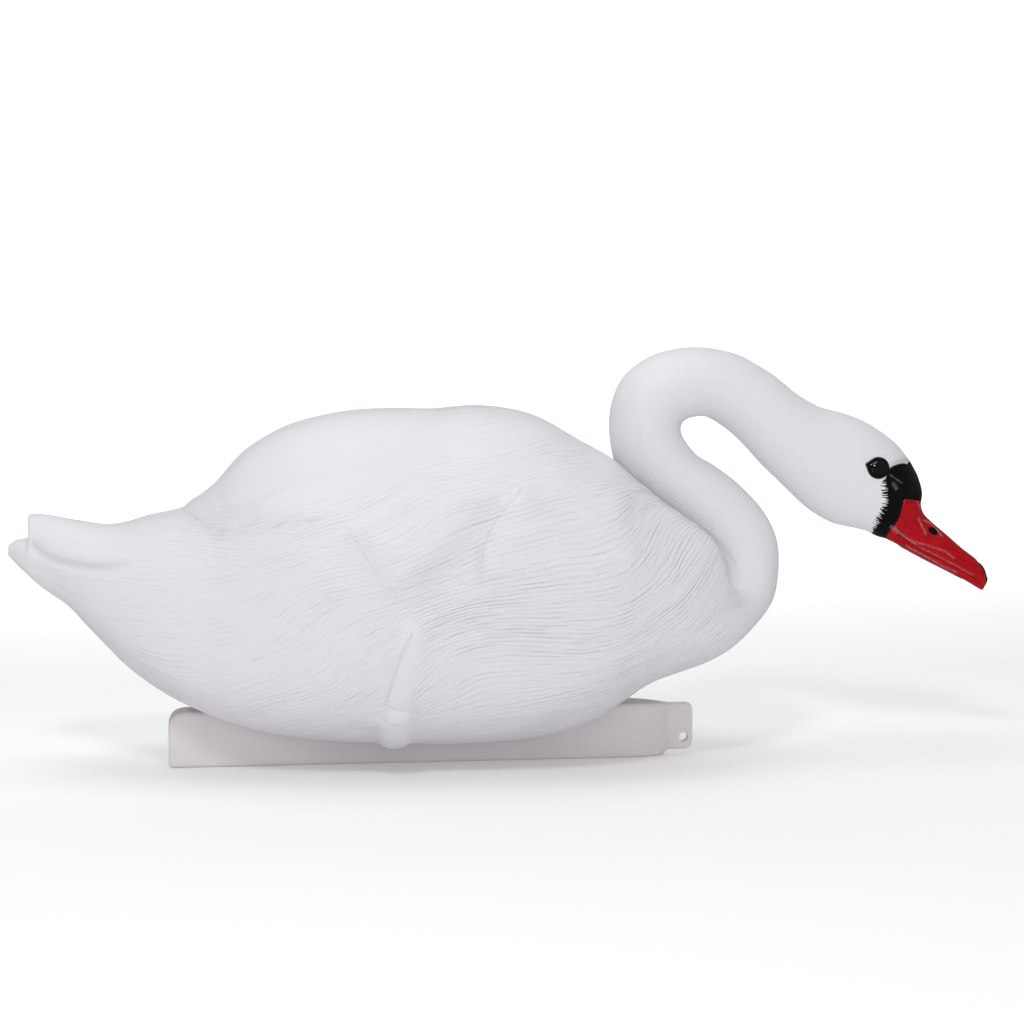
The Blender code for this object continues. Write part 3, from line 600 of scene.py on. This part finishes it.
def comb_directions(skin):
    """Places on the flank, and unit directions there, of the plumage's lines."""
    ahead = photo_axes()[0]
    near = grid_normals(skin.grid).reshape(-1, 3) @ ahead < -0.05
    seen = photo_pixels(skin.points[near])
    flat = np.column_stack([skin.along, skin.flank])[near]
    places, directions = [], []
    for stroke in COMB_STROKES:
        spots = [flat[np.argmin(((seen - np.array(pixel)) ** 2).sum(axis=1))] for pixel in stroke]
        for start, end in zip(spots[:-1], spots[1:]):
            run = end - start
            length = np.hypot(*run)
            if length > SHORTEST_RUN:
                places.append((start + end) / 2)
                directions.append(run / length)
    return np.array(places), np.array(directions)


class Field:
    """Smooth function over the flank: a slope plus bells on a grid of centres."""

    def __init__(self, places, conditions, base, low, high):
        across = np.arange(low[0], high[0] + FIELD_SPACING, FIELD_SPACING)
        upward = np.arange(low[1], high[1] + FIELD_SPACING, FIELD_SPACING)
        self.centres = np.array([(a, b) for a in across for b in upward])
        self.base = base
        away = places[:, None, :] - self.centres[None]
        bell = np.exp(-(away**2).sum(axis=2) / (2 * FIELD_REACH**2))
        slope = -away * bell[..., None] / FIELD_REACH**2
        matrix, target = [], []
        for headings, value, weight in conditions:
            matrix.append(weight * np.einsum("kmi,ki->km", slope, headings))
            target.append(weight * (value - headings @ base))
        matrix.append(FIELD_STIFFNESS / FIELD_REACH * np.eye(len(self.centres)))
        target.append(np.zeros(len(self.centres)))
        self.heights = np.linalg.lstsq(np.vstack(matrix), np.concatenate(target), rcond=None)[0]

    def at(self, points):
        away = points[:, None, :] - self.centres[None]
        bell = np.exp(-(away**2).sum(axis=2) / (2 * FIELD_REACH**2))
        return points @ self.base + bell @ self.heights


def comb_fields(skin):
    """Coordinates along and across the plumage's lines for each point of the body."""
    places, run = comb_directions(skin)
    across = np.column_stack([run[:, 1], -run[:, 0]])
    low = np.array([skin.along.min(), skin.flank.min()])
    high = np.array([skin.along.max(), skin.flank.max()])
    flat = np.column_stack([skin.along, skin.flank])
    lengthwise = Field(places, [(run, 1, 0.6), (across, 0, 0.5)], run.mean(axis=0), low, high)
    crosswise = Field(places, [(run, 0, 1.0), (across, 1, 0.4)], across.mean(axis=0), low, high)
    return lengthwise.at(flat), crosswise.at(flat)


def step_up(gap, softness):
    """0 on the low side of an edge and 1 on the raised side, over a short slope."""
    return 1 / (1 + np.exp(-np.clip(gap / softness, -30, 30)))


def bell(gap, width):
    """1 where the gap is 0, fading to 0 past the width."""
    return np.exp(-(gap / width) ** 2)


def spot(flat, centre, reach):
    """1 at an oval spot's centre, fading to 0 past its reach."""
    return np.exp(-(((flat - np.array(centre)) / np.array(reach)) ** 2).sum(axis=1))


def past_end(place):
    """How far past either end of a line a place is, and 0 along the line."""
    return np.clip(np.maximum(-place, place - 1), 0, None)


def feather_groups(points, seen):
    """Lift of each point by the steps between groups of feathers."""
    wave = EDGE_WAVE * np.column_stack([
        lattice_noise(points / EDGE_WAVE_LENGTH, 1), lattice_noise(points / EDGE_WAVE_LENGTH, 2)
    ])
    lift = np.zeros(len(points))
    for edge, step, fade, softness in FEATHER_EDGES:
        gap, place = line_place(seen + wave, edge)
        raised = step_up(gap, softness) * np.exp(-np.clip(gap, 0, None) / fade)
        lift += step * MM * raised * bell(past_end(place), EDGE_END_FADE)
    for line, depth, width, _ in HOLLOWS:
        lift -= depth * MM * bell(line_distance(seen, line), width)
    return lift


def tail_and_legs(points, seen):
    """Lift of each point by the tail's lip, the legs, the heels and the feet."""
    flat = points[:, [0, 2]] / MM
    outboard = 1 - np.exp(-(points[:, 1] / LEG_SPREAD) ** 4)
    leg = line_distance(flat, LEG_LINE) * MM
    foot = line_distance(flat, LEG_LINE[-2:]) * MM
    lift = outboard * LEG_PROUD * np.exp(-(leg / LEG_HALF_WIDTH) ** 4)
    lift += outboard * FOOT_PROUD * np.exp(-(foot / FOOT_HALF_WIDTH) ** 6)
    lift += outboard * HEEL_LIFT * bell(np.hypot(*(seen - np.array(HEEL[0])).T), HEEL[1])
    gap, place = line_place(seen, TAIL_LIP)
    lift += TAIL_LIP_HEIGHT * bell(gap, TAIL_LIP_WIDTH) * np.clip(4 * place * (1 - place), 0, 1)
    return lift


def tail_groove(points, seen):
    """Sideways shift of each point, towards the middle plane, by the groove of the tail."""
    gap, place = line_place(seen, TAIL_GROOVE)
    depth = TAIL_GROOVE_DEPTH * bell(gap, TAIL_GROOVE_WIDTH) * np.clip(3 * (1 - place), 0, 1)
    depth = depth * bell(past_end(place), EDGE_END_FADE)
    return -np.sign(points[:, 1]) * np.minimum(depth, 0.6 * np.abs(points[:, 1]))


def face_relief(seen):
    """Lift of each point by the knob, the lores, the mouth and the nostrils."""
    knob = np.hypot(*(seen - np.array(KNOB_CENTRE)).T) / KNOB_REACH
    lift = KNOB_LIFT * np.clip(1 - knob**2, 0, 1)
    for line, height, width in FACE_RELIEF:
        lift += height * MM * bell(line_distance(seen, line), width)
    hollow = ellipse_distance(seen, NOSTRIL)
    lift -= NOSTRIL_DEPTH * np.clip(hollow / 1.5 + 0.3, 0, 1)
    return lift + NOSTRIL_RIM_LIFT * bell(hollow + 1.3, 1.0)


def comb_strength(points, seen):
    """How deep the plumage is combed at each point, from 0 to about 1."""
    flat = points[:, [0, 2]] / MM
    x, z = flat.T
    deep = COMB_FLOOR + (1 - COMB_FLOOR) * spot(flat, *DEEP_SPOT)
    tail = 1 / (1 + np.exp((x - TAIL_BEFORE) / TAIL_FADE)) / (1 + np.exp((TAIL_ABOVE - z) / TAIL_EDGE))
    smooth = [
        spot(flat, *BACK_SPOT),
        tail,
        1 / (1 + np.exp((z - UNDER_BELOW) / UNDER_FADE)),
        np.exp(-(line_distance(flat, LEG_LINE) / SMOOTH_LEG_REACH) ** 4),
        bell(line_distance(seen, SMOOTH_SLOPE[0]), SMOOTH_SLOPE[1]),
        bell(line_distance(seen, SMOOTH_NECK_FOOT[0]), SMOOTH_NECK_FOOT[1]),
    ]
    for share, part in zip(SMOOTH_SHARES, smooth):
        deep = deep * (1 - share * part)
    return deep


def relax(points, faces, seen):
    """Points with the skin smoothed over round the relaxed spots."""
    weight = np.zeros(len(points))
    for spot, reach in RELAXED_SPOTS:
        weight = np.maximum(weight, bell(np.hypot(*(seen - np.array(spot)).T), reach))
    pairs = np.array([(a, b) for face in faces for a, b in zip(face, face[1:] + face[:1])])
    pairs = pairs[(weight[pairs] > 0.02).any(axis=1)]
    shared = np.bincount(pairs.ravel(), minlength=len(points))
    weight = np.where(shared > 0, weight, 0)[:, None]
    shared = np.maximum(shared, 1)[:, None]
    for _ in range(RELAX_ROUNDS):
        total = np.zeros_like(points)
        np.add.at(total, pairs[:, 0], points[pairs[:, 1]])
        np.add.at(total, pairs[:, 1], points[pairs[:, 0]])
        points = points + 0.5 * weight * (total / shared - points)
    return points


def skin_faces(first_row, rows, count):
    """Quads between neighbouring rings of a block of vertices."""
    index = first_row + np.arange(rows * count).reshape(rows, count)
    nxt = np.roll(index, -1, axis=1)
    quads = np.stack([index[:-1], index[1:], nxt[1:], nxt[:-1]], axis=2).reshape(-1, 4)
    return [tuple(quad) for quad in quads.tolist()]


def bridge_faces(wide, narrow):
    """Triangles between a ring and the next one with half as many points."""
    faces = []
    count = len(wide)
    for i in range(len(narrow)):
        j = (i + 1) % len(narrow)
        first, middle, last = wide[2 * i], wide[2 * i + 1], wide[(2 * i + 2) % count]
        faces += [(middle, first, narrow[i]), (narrow[j], middle, narrow[i]), (last, middle, narrow[j])]
    return faces


def add_attribute(mesh, name, values):
    kind = "FLOAT_VECTOR" if values.ndim == 2 else "FLOAT"
    attribute = mesh.attributes.new(name, kind, "POINT")
    attribute.data.foreach_set("vector" if values.ndim == 2 else "value", values.astype(np.float32).ravel())


def make_skin():
    """The whole shell as one fine mesh, with the values its material reads."""
    table = section_table()
    knots, places, neck_start = ring_places(table)
    rows = spline(table, knots, places)
    in_body = places <= neck_start
    body = Skin(rows[in_body], places[in_body], BODY_RING_POINTS)
    neck = Skin(rows[~in_body], places[~in_body], NECK_RING_POINTS)

    lengthwise, crosswise = comb_fields(body)
    body_comb = np.column_stack([lengthwise, crosswise, body.points[:, 1]])
    neck_comb = np.column_stack([NECK_STROKE_RATE * neck.along, neck.flank, neck.points[:, 1]])
    seen = side_pixels(body.points)
    strength = comb_strength(body.points, seen) * (1 - bell(neck_start - body.along, COMB_PAUSE))
    neck_strength = NECK_COMB * (1 - bell(neck.along - neck_start, COMB_PAUSE))
    clumps = CLUMP_LIFT * lattice_noise(body_comb / CLUMP_CELL / MM, 3)
    strands = STRAND_LIFT * lattice_noise(body_comb / STRAND_CELL / MM, 4)
    shape = feather_groups(body.points, seen) + tail_and_legs(body.points, seen)
    body.move(shape + (clumps + strands) * strength)
    neck.move(face_relief(side_pixels(neck.points)))

    points = np.vstack([body.points, neck.points])
    body_count = len(body.points)
    points[:body_count, 1] += tail_groove(body.points, side_pixels(body.points))
    faces = skin_faces(0, body.shape[0], BODY_RING_POINTS)
    faces += skin_faces(body_count, neck.shape[0], NECK_RING_POINTS)
    last_body = list(range(body_count - BODY_RING_POINTS, body_count))
    first_neck = list(range(body_count, body_count + NECK_RING_POINTS))
    faces += bridge_faces(last_body, first_neck)
    points = relax(points, faces, side_pixels(points))
    ends = [list(range(BODY_RING_POINTS)), list(range(len(points) - NECK_RING_POINTS, len(points)))]
    hubs = np.array([points[end].mean(axis=0) for end in ends])
    for hub, end in enumerate(ends):
        for a, b in zip(end, end[1:] + end[:1]):
            turn = (a, b) if hub == 0 else (b, a)
            faces.append((*turn, len(points) + hub))
    mesh = bpy.data.meshes.new("swan_skin")
    mesh.from_pydata(np.vstack([points, hubs]).tolist(), [], faces)

    comb = np.vstack([body_comb, neck_comb, np.zeros((2, 3))])
    points_side = np.sign(np.vstack([points, hubs])[:, 1])
    seen = side_pixels(np.vstack([points, hubs]))
    add_attribute(mesh, "comb", comb / MM)
    add_attribute(mesh, "comb_strength", np.concatenate([strength, neck_strength, [0, 0]]))
    add_attribute(mesh, "black_edge", outline_distance(seen, BLACK_PAINT))
    add_attribute(mesh, "red_edge", outline_distance(seen, RED_PAINT))
    gap, place = line_place(seen, BRUSHED_EDGE)
    length = np.hypot(*np.diff(BRUSHED_EDGE, axis=0).T).sum()
    add_attribute(mesh, "brush", np.column_stack([gap, place * length, points_side]))
    add_attribute(mesh, "brush_reach", BRUSH_REACH * np.clip(8 * place * (1 - place), 0, 1))
    # Painted shade: how much each hollow's colour is darkened
    shade = np.zeros(len(seen))
    for line, _, width, painted_shade_share in HOLLOWS:
        shade = np.maximum(shade, painted_shade_share * bell(line_distance(seen, line), width))
    add_attribute(mesh, "shade", shade)
    for i, (line, height, width) in enumerate(FINE_LINES):
        gap, place = line_place(seen, line)
        reach = height * bell(past_end(place), FINE_END_FADE)
        add_attribute(mesh, f"fine_{i}", np.column_stack([gap / width, reach, np.zeros(len(seen))]))
    overspray = bell(line_distance(seen, OVERSPRAY[0]), OVERSPRAY[1])
    add_attribute(mesh, "overspray", overspray)
    nail = NAIL_WIDTH - np.abs(line_distance(seen, NAIL_EDGE))
    add_attribute(mesh, "detail_edge", np.maximum(ellipse_distance(seen, NOSTRIL), nail))
    mesh.shade_smooth()
    mesh.validate()
    skin = bpy.data.objects.new("swan_skin", mesh)
    bpy.context.scene.collection.objects.link(skin)
    return skin


class Nodes:
    """Short calls that build a material's nodes."""

    def __init__(self, name):
        self.material = bpy.data.materials.new(name)
        self.material.use_nodes = True
        self.tree = self.material.node_tree
        self.shader = self.tree.nodes["Principled BSDF"]

    def add(self, kind, inputs=(), **settings):
        node = self.tree.nodes.new(kind)
        for key, value in settings.items():
            setattr(node, key, value)
        for socket, value in dict(inputs).items():
            self.set(node.inputs[socket], value)
        return node

    def set(self, socket, value):
        if isinstance(value, bpy.types.NodeSocket):
            self.tree.links.new(value, socket)
        else:
            socket.default_value = value

    def attribute(self, name, output="Fac"):
        return self.add("ShaderNodeAttribute", attribute_name=name).outputs[output]

    def math(self, operation, *values, clamp=False):
        return self.add(
            "ShaderNodeMath", dict(enumerate(values)), operation=operation, use_clamp=clamp
        ).outputs[0]

    def noise(self, vector, cell, detail=2.0):
        """Noise whose cell is given in the vector's own units."""
        factors = [1 / size for size in cell]
        cells = self.add("ShaderNodeVectorMath", {0: vector, 1: factors}, operation="MULTIPLY")
        inputs = {"Vector": cells.outputs[0], "Scale": 1.0, "Detail": detail, "Roughness": 0.5}
        return self.add("ShaderNodeTexNoise", inputs).outputs["Fac"]

    def mapped(self, value, low, high, to_low=0.0, to_high=1.0):
        inputs = {"Value": value, "From Min": low, "From Max": high, "To Min": to_low, "To Max": to_high}
        return self.add("ShaderNodeMapRange", inputs).outputs["Result"]

    def mix(self, factor, first, second):
        node = self.add("ShaderNodeMix", data_type="RGBA")
        for socket, value in ((node.inputs[0], factor), (node.inputs[6], first), (node.inputs[7], second)):
            self.set(socket, value)
        return node.outputs[2]

    def blend(self, factor, first, second):
        return self.add("ShaderNodeMix", {0: factor, 2: first, 3: second}).outputs[0]


WHITE_PLASTIC = (0.785, 0.77, 0.81, 1)
# Painted shade in the comb's grooves, a touch darker than the plastic
GROOVE_SHADE_WHITE = (0.785, 0.77, 0.805, 1)
# Painted shade for the hollows, the neck's crease and the tail's groove
HOLLOW_SHADE_WHITE = (0.66, 0.635, 0.65, 1)
OVERSPRAY_GREY = (0.30, 0.30, 0.31, 1)
OVERSPRAY_COVER = 0.45
BLACK_PAINT_COLOUR = (0.003, 0.003, 0.0035, 1)
DEEP_RED_PAINT = (0.36, 0.003, 0.008, 1)
BRIGHT_RED_PAINT = (0.47, 0.006, 0.014, 1)
# Painted highlight along the raised fine lines on the black and red paint
PAINTED_HIGHLIGHT = (0.62, 0.50, 0.52, 1)
COMB_SPACING = 3.7
COMB_SWAY = 7.0
COMB_DEPTH = 0.66 * MM
# Cells of the noise: mm along, across and sideways for the skin, and metres for the rest
SWAY_CELL = (80, 20, 60)
DEPTH_CELL = (45, 13, 40)
HAIR_CELL = (40, 2.6, 30)
BRUSH_CELL = (9, 0.9, 0.2)
WOBBLE_CELL = (2, 2, 2)
BILL_CELL = (70, 3, 20)
# Patches of the painted highlight on the ridges
HIGHLIGHT_CELL = (9, 3, 9)
MOTTLE_CELL = (30, 30, 30)
KEEL_CLOUD_CELL = (1 / 18, 1 / 30, 1 / 30)
KEEL_GRAIN_CELL = (1 / 900, 1 / 900, 1 / 900)
STEEL_GRAIN_CELL = (1 / 300, 1 / 300, 1 / 1500)
EYE_CLOUD_CELL = (1 / 400, 1 / 400, 1 / 400)


def skin_material():
    """White plastic with combed plumage, gloss black lores and knob, gloss red bill."""
    n = Nodes("swan_paint")
    comb = n.attribute("comb", "Vector")
    across = n.add("ShaderNodeSeparateXYZ", {0: comb}).outputs["Y"]
    strength = n.attribute("comb_strength")

    sway = n.noise(comb, SWAY_CELL)
    phase = n.math("MULTIPLY_ADD", across, math.pi / COMB_SPACING, n.math("MULTIPLY", sway, COMB_SWAY))
    strand = n.math("POWER", n.math("ABSOLUTE", n.math("SINE", phase)), 0.6)
    depth = n.mapped(n.noise(comb, DEPTH_CELL), 0.3, 0.62, 0.25, 1.0)
    fine = n.mapped(n.noise(comb, HAIR_CELL, detail=3), 0.3, 0.7, -0.6, 0.6)
    height = n.math("MULTIPLY_ADD", n.math("SUBTRACT", strand, 1.0), depth, fine)
    height = n.math("MULTIPLY", height, strength)

    stroke = n.noise(n.attribute("brush", "Vector"), BRUSH_CELL, detail=1)
    reach = n.math("MULTIPLY", n.mapped(stroke, 0.36, 0.66), n.attribute("brush_reach"))
    wobble = n.mapped(n.noise(comb, WOBBLE_CELL), 0.3, 0.7, -0.6, 0.6)
    edge = n.math("ADD", n.attribute("black_edge"), wobble)
    black = n.mapped(n.math("ADD", edge, reach), -0.35, 0.35)
    red = n.mapped(n.attribute("red_edge"), -0.25, 0.25)
    detail = n.mapped(n.attribute("detail_edge"), -0.2, 0.3)
    painted = n.math("MAXIMUM", black, red)

    relief = n.math("MULTIPLY", height, n.mapped(painted, 0, 1, COMB_DEPTH, 0.1 * COMB_DEPTH))
    # Painted highlight, summed along the raised fine lines
    ridge_highlight = 0.0
    for i in range(len(FINE_LINES)):
        line = n.add("ShaderNodeSeparateXYZ", {0: n.attribute(f"fine_{i}", "Vector")})
        square = n.math("MULTIPLY", line.outputs["X"], line.outputs["X"])
        profile = n.math("POWER", math.exp(-1), square)
        lifted = n.math("MULTIPLY", line.outputs["Y"], MM)
        relief = n.math("MULTIPLY_ADD", profile, lifted, relief)
        ridge_highlight = n.math("MULTIPLY_ADD", profile, n.math("MAXIMUM", line.outputs["Y"], 0.0), ridge_highlight)

    # Painted shade: the comb's grooves, then the hollows, are darkened in the colour
    groove = n.mapped(height, -0.9, 0.3)
    white = n.mix(groove, GROOVE_SHADE_WHITE, WHITE_PLASTIC)
    white = n.mix(n.attribute("shade"), white, HOLLOW_SHADE_WHITE)
    white = n.mix(n.math("MULTIPLY", n.attribute("overspray"), OVERSPRAY_COVER), white, OVERSPRAY_GREY)
    streak = n.mapped(n.noise(comb, BILL_CELL), 0.35, 0.65)
    bill = n.mix(streak, DEEP_RED_PAINT, BRIGHT_RED_PAINT)
    colour = n.mix(red, n.mix(black, white, BLACK_PAINT_COLOUR), bill)
    # Painted highlight: patchy pale colour on the ridges of the painted face
    highlight_patches = n.mapped(n.noise(comb, HIGHLIGHT_CELL), 0.35, 0.6, 0.1, 0.42)
    highlight_cover = n.math("MULTIPLY", n.math("MULTIPLY", ridge_highlight, highlight_patches, clamp=True), painted)
    colour = n.mix(highlight_cover, colour, PAINTED_HIGHLIGHT)
    n.set(n.shader.inputs["Base Color"], n.mix(detail, colour, BLACK_PAINT_COLOUR))
    mottle = n.noise(comb, MOTTLE_CELL, detail=3)
    satin = n.mapped(mottle, 0.3, 0.7, 0.44, 0.56)
    gloss = n.mapped(mottle, 0.3, 0.7, 0.08, 0.14)
    n.set(n.shader.inputs["Roughness"], n.blend(painted, satin, gloss))
    n.shader.inputs["Specular IOR Level"].default_value = 0.5
    bump = n.add("ShaderNodeBump", {"Height": relief, "Distance": 1.0, "Strength": 1.0})
    n.set(n.shader.inputs["Normal"], bump.outputs[0])
    return n.material


def keel_material():
    """Natural polyethylene: satin grey-white with faint clouding."""
    n = Nodes("keel_natural")
    place = n.add("ShaderNodeTexCoord").outputs["Object"]
    cloud = n.noise(place, KEEL_CLOUD_CELL, detail=4)
    grain = n.noise(place, KEEL_GRAIN_CELL, detail=1)
    n.set(n.shader.inputs["Base Color"], n.mix(cloud, (0.72, 0.68, 0.69, 1), (0.80, 0.76, 0.77, 1)))
    n.set(n.shader.inputs["Roughness"], n.mapped(cloud, 0.3, 0.7, 0.3, 0.42))
    bump = n.add("ShaderNodeBump", {"Height": grain, "Distance": 0.05 * MM, "Strength": 0.6})
    n.set(n.shader.inputs["Normal"], bump.outputs[0])
    return n.material


def steel_material():
    """Zinc-plated steel with a faint brushed grain."""
    n = Nodes("zinc_plate")
    n.shader.inputs["Metallic"].default_value = 1.0
    place = n.add("ShaderNodeTexCoord").outputs["Object"]
    grain = n.noise(place, STEEL_GRAIN_CELL, detail=3)
    n.set(n.shader.inputs["Base Color"], n.mix(grain, (0.50, 0.51, 0.53, 1), (0.62, 0.63, 0.66, 1)))
    n.set(n.shader.inputs["Roughness"], n.mapped(grain, 0.3, 0.7, 0.25, 0.42))
    return n.material


def eye_material():
    """Gloss black paint."""
    n = Nodes("eye_gloss_black")
    place = n.add("ShaderNodeTexCoord").outputs["Object"]
    cloud = n.noise(place, EYE_CLOUD_CELL)
    n.set(n.shader.inputs["Base Color"], n.mix(cloud, (0.002, 0.002, 0.002, 1), (0.006, 0.006, 0.007, 1)))
    n.set(n.shader.inputs["Roughness"], n.mapped(cloud, 0.3, 0.7, 0.04, 0.09))
    n.shader.inputs["Specular IOR Level"].default_value = 1.0
    return n.material


def lid_reach(turn):
    """Distance in px from the eye's centre to its lids, for each direction."""
    reach = np.full(len(turn), float(EYE_RADIUS))
    for corner in EYE_CORNERS:
        away = np.array(corner) - np.array(EYE_CENTRE)
        tangent = math.acos(EYE_RADIUS / np.hypot(*away))
        off = np.abs((turn - math.atan2(away[1], away[0]) + math.pi) % (2 * math.pi) - math.pi)
        reach = np.maximum(reach, EYE_RADIUS / np.cos(np.clip(tangent - off, 0, None)))
    return reach


def photo_ray(pixel, side):
    """Start and direction of the sight line through a pixel, mirrored for the left side."""
    ahead, right, up = photo_axes()
    half = PHOTO_SIZE / 2
    ray = ahead + right * (pixel[0] - half) / PHOTO_FOCUS + up * (half - pixel[1]) / PHOTO_FOCUS
    mirror = np.array([1, side, 1])
    return Vector(camera_place() * mirror), Vector(ray * mirror).normalized()


def make_eye(name, side, skin):
    """Gloss black eye with raised lids and a domed pupil, seated on the skin."""
    tree = BVHTree.FromObject(skin, bpy.context.evaluated_depsgraph_get())
    turn = np.linspace(0, 2 * math.pi, EYE_STEPS, endpoint=False)
    reach = lid_reach(turn)
    points = []
    for ring_index in range(EYE_RINGS + 1):
        share = ring_index / EYE_RINGS
        for angle, far in zip(turn, reach):
            away = share * far
            pixel = (EYE_CENTRE[0] + away * math.cos(angle), EYE_CENTRE[1] + away * math.sin(angle))
            dome = PUPIL_PROUD * math.sqrt(max(0.0, 1 - (away / PUPIL_RADIUS) ** 2))
            rim = EYE_RIM_LIFT * math.exp(-((far - EYE_RIM_WIDTH - away) / EYE_RIM_WIDTH) ** 2)
            lift = max(dome, rim) + EYE_SEAT - (EYE_EDGE_TUCK if ring_index == EYE_RINGS else 0)
            point, normal, _, _ = tree.ray_cast(*photo_ray(pixel, side))
            points.append(tuple(point + normal * lift))
    points = points[EYE_STEPS - 1:]
    faces = []
    for i in range(EYE_STEPS):
        j = (i + 1) % EYE_STEPS
        faces.append((0, 1 + i, 1 + j))
        for row in range(EYE_RINGS - 1):
            a, b = 1 + row * EYE_STEPS + i, 1 + row * EYE_STEPS + j
            faces.append((a, a + EYE_STEPS, b + EYE_STEPS, b))
    if side > 0:
        faces = [face[::-1] for face in faces]
    mesh = bpy.data.meshes.new(name)
    mesh.from_pydata(points, [], faces)
    mesh.shade_smooth()
    eye = bpy.data.objects.new(name, mesh)
    bpy.context.scene.collection.objects.link(eye)
    return eye


def make_sweep():
    """Pale floor that curves up behind the object."""
    radius, depth, back, height, half = 1.6, -5.0, 2.6, 5.0, 9.0
    profile = [(depth, 0.0), (back, 0.0)]
    for step in range(1, 25):
        angle = math.pi / 2 * step / 24
        profile.append((back + radius * math.sin(angle), radius * (1 - math.cos(angle))))
    profile.append((back + radius, height))
    points = [(x, y, z) for y, z in profile for x in (-half, half)]
    faces = [(2 * i, 2 * i + 1, 2 * i + 3, 2 * i + 2) for i in range(len(profile) - 1)]
    mesh = bpy.data.meshes.new("floor")
    mesh.from_pydata(points, [], faces)
    mesh.shade_smooth()
    floor = bpy.data.objects.new("floor", mesh)
    bpy.context.scene.collection.objects.link(floor)
    material = bpy.data.materials.new("pale_floor")
    material.use_nodes = True
    shader = material.node_tree.nodes["Principled BSDF"]
    shader.inputs["Base Color"].default_value = (0.86, 0.86, 0.86, 1)
    shader.inputs["Roughness"].default_value = 0.9
    shader.inputs["Specular IOR Level"].default_value = 0.1
    shader.inputs["Emission Color"].default_value = (1, 1, 1, 1)
    # The floor glows by emission, weakest in front and strongest towards the back
    place = material.node_tree.nodes.new("ShaderNodeTexCoord")
    split = material.node_tree.nodes.new("ShaderNodeSeparateXYZ")
    glow = material.node_tree.nodes.new("ShaderNodeMapRange")
    glow.inputs["From Min"].default_value, glow.inputs["From Max"].default_value = 0.5, 3.0
    glow.inputs["To Min"].default_value, glow.inputs["To Max"].default_value = 0.12, 0.75
    material.node_tree.links.new(place.outputs["Object"], split.inputs[0])
    material.node_tree.links.new(split.outputs["Y"], glow.inputs["Value"])
    material.node_tree.links.new(glow.outputs["Result"], shader.inputs["Emission Strength"])
    mesh.materials.append(material)
    floor.visible_glossy = False


def add_area(name, place, aim, size, power, mirrored):
    light = bpy.data.lights.new(name, "AREA")
    light.energy, light.size = power, size
    obj = bpy.data.objects.new(name, light)
    obj.location = place
    obj.visible_glossy = mirrored
    obj.rotation_mode = "QUATERNION"
    obj.rotation_quaternion = (Vector(aim) - Vector(place)).to_track_quat("-Z", "Y")
    bpy.context.scene.collection.objects.link(obj)


def light_scene():
    world = bpy.data.worlds.new("studio")
    world.use_nodes = True
    world.node_tree.nodes["Background"].inputs["Color"].default_value = (1, 1, 1, 1)
    path = world.node_tree.nodes.new("ShaderNodeLightPath")
    dim = world.node_tree.nodes.new("ShaderNodeMapRange")
    dim.inputs["To Min"].default_value = WORLD_STRENGTH
    dim.inputs["To Max"].default_value = MIRRORED_WORLD_STRENGTH
    world.node_tree.links.new(path.outputs["Is Glossy Ray"], dim.inputs["Value"])
    strength = world.node_tree.nodes["Background"].inputs["Strength"]
    world.node_tree.links.new(dim.outputs["Result"], strength)
    bpy.context.scene.world = world
    for name, place, size, power, mirrored in LIGHTS:
        add_area(name, place, LIGHT_AIM, size, power, mirrored)
    bpy.context.scene.view_settings.view_transform = "Standard"


def make_camera():
    data = bpy.data.cameras.new("camera")
    data.lens, data.sensor_width = CAMERA_LENS, SENSOR_WIDTH
    camera = bpy.data.objects.new("camera", data)
    ahead, right, up = photo_axes()
    place = camera_place()
    camera.matrix_world = Matrix([
        [right[i], up[i], -ahead[i], place[i]] for i in range(3)
    ] + [[0, 0, 0, 1]])
    bpy.context.scene.collection.objects.link(camera)
    bpy.context.scene.camera = camera


def dress():
    make_camera()
    light_scene()
    make_sweep()
    skin = make_skin()
    skin.data.materials.append(skin_material())
    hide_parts("swan_shell")
    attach(skin, "root")
    black = eye_material()
    for name, side in (("eye_right", 1), ("eye_left", -1)):
        eye = make_eye(name, side, skin)
        eye.data.materials.append(black)
        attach(eye, "root")
    finishes = {"keel": keel_material(), "keel_screw_front": steel_material()}
    finishes["keel_screw_rear"] = finishes["keel_screw_front"]
    for node, material in finishes.items():
        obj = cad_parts[node]
        obj.data.materials.clear()
        obj.data.materials.append(material)


dress()
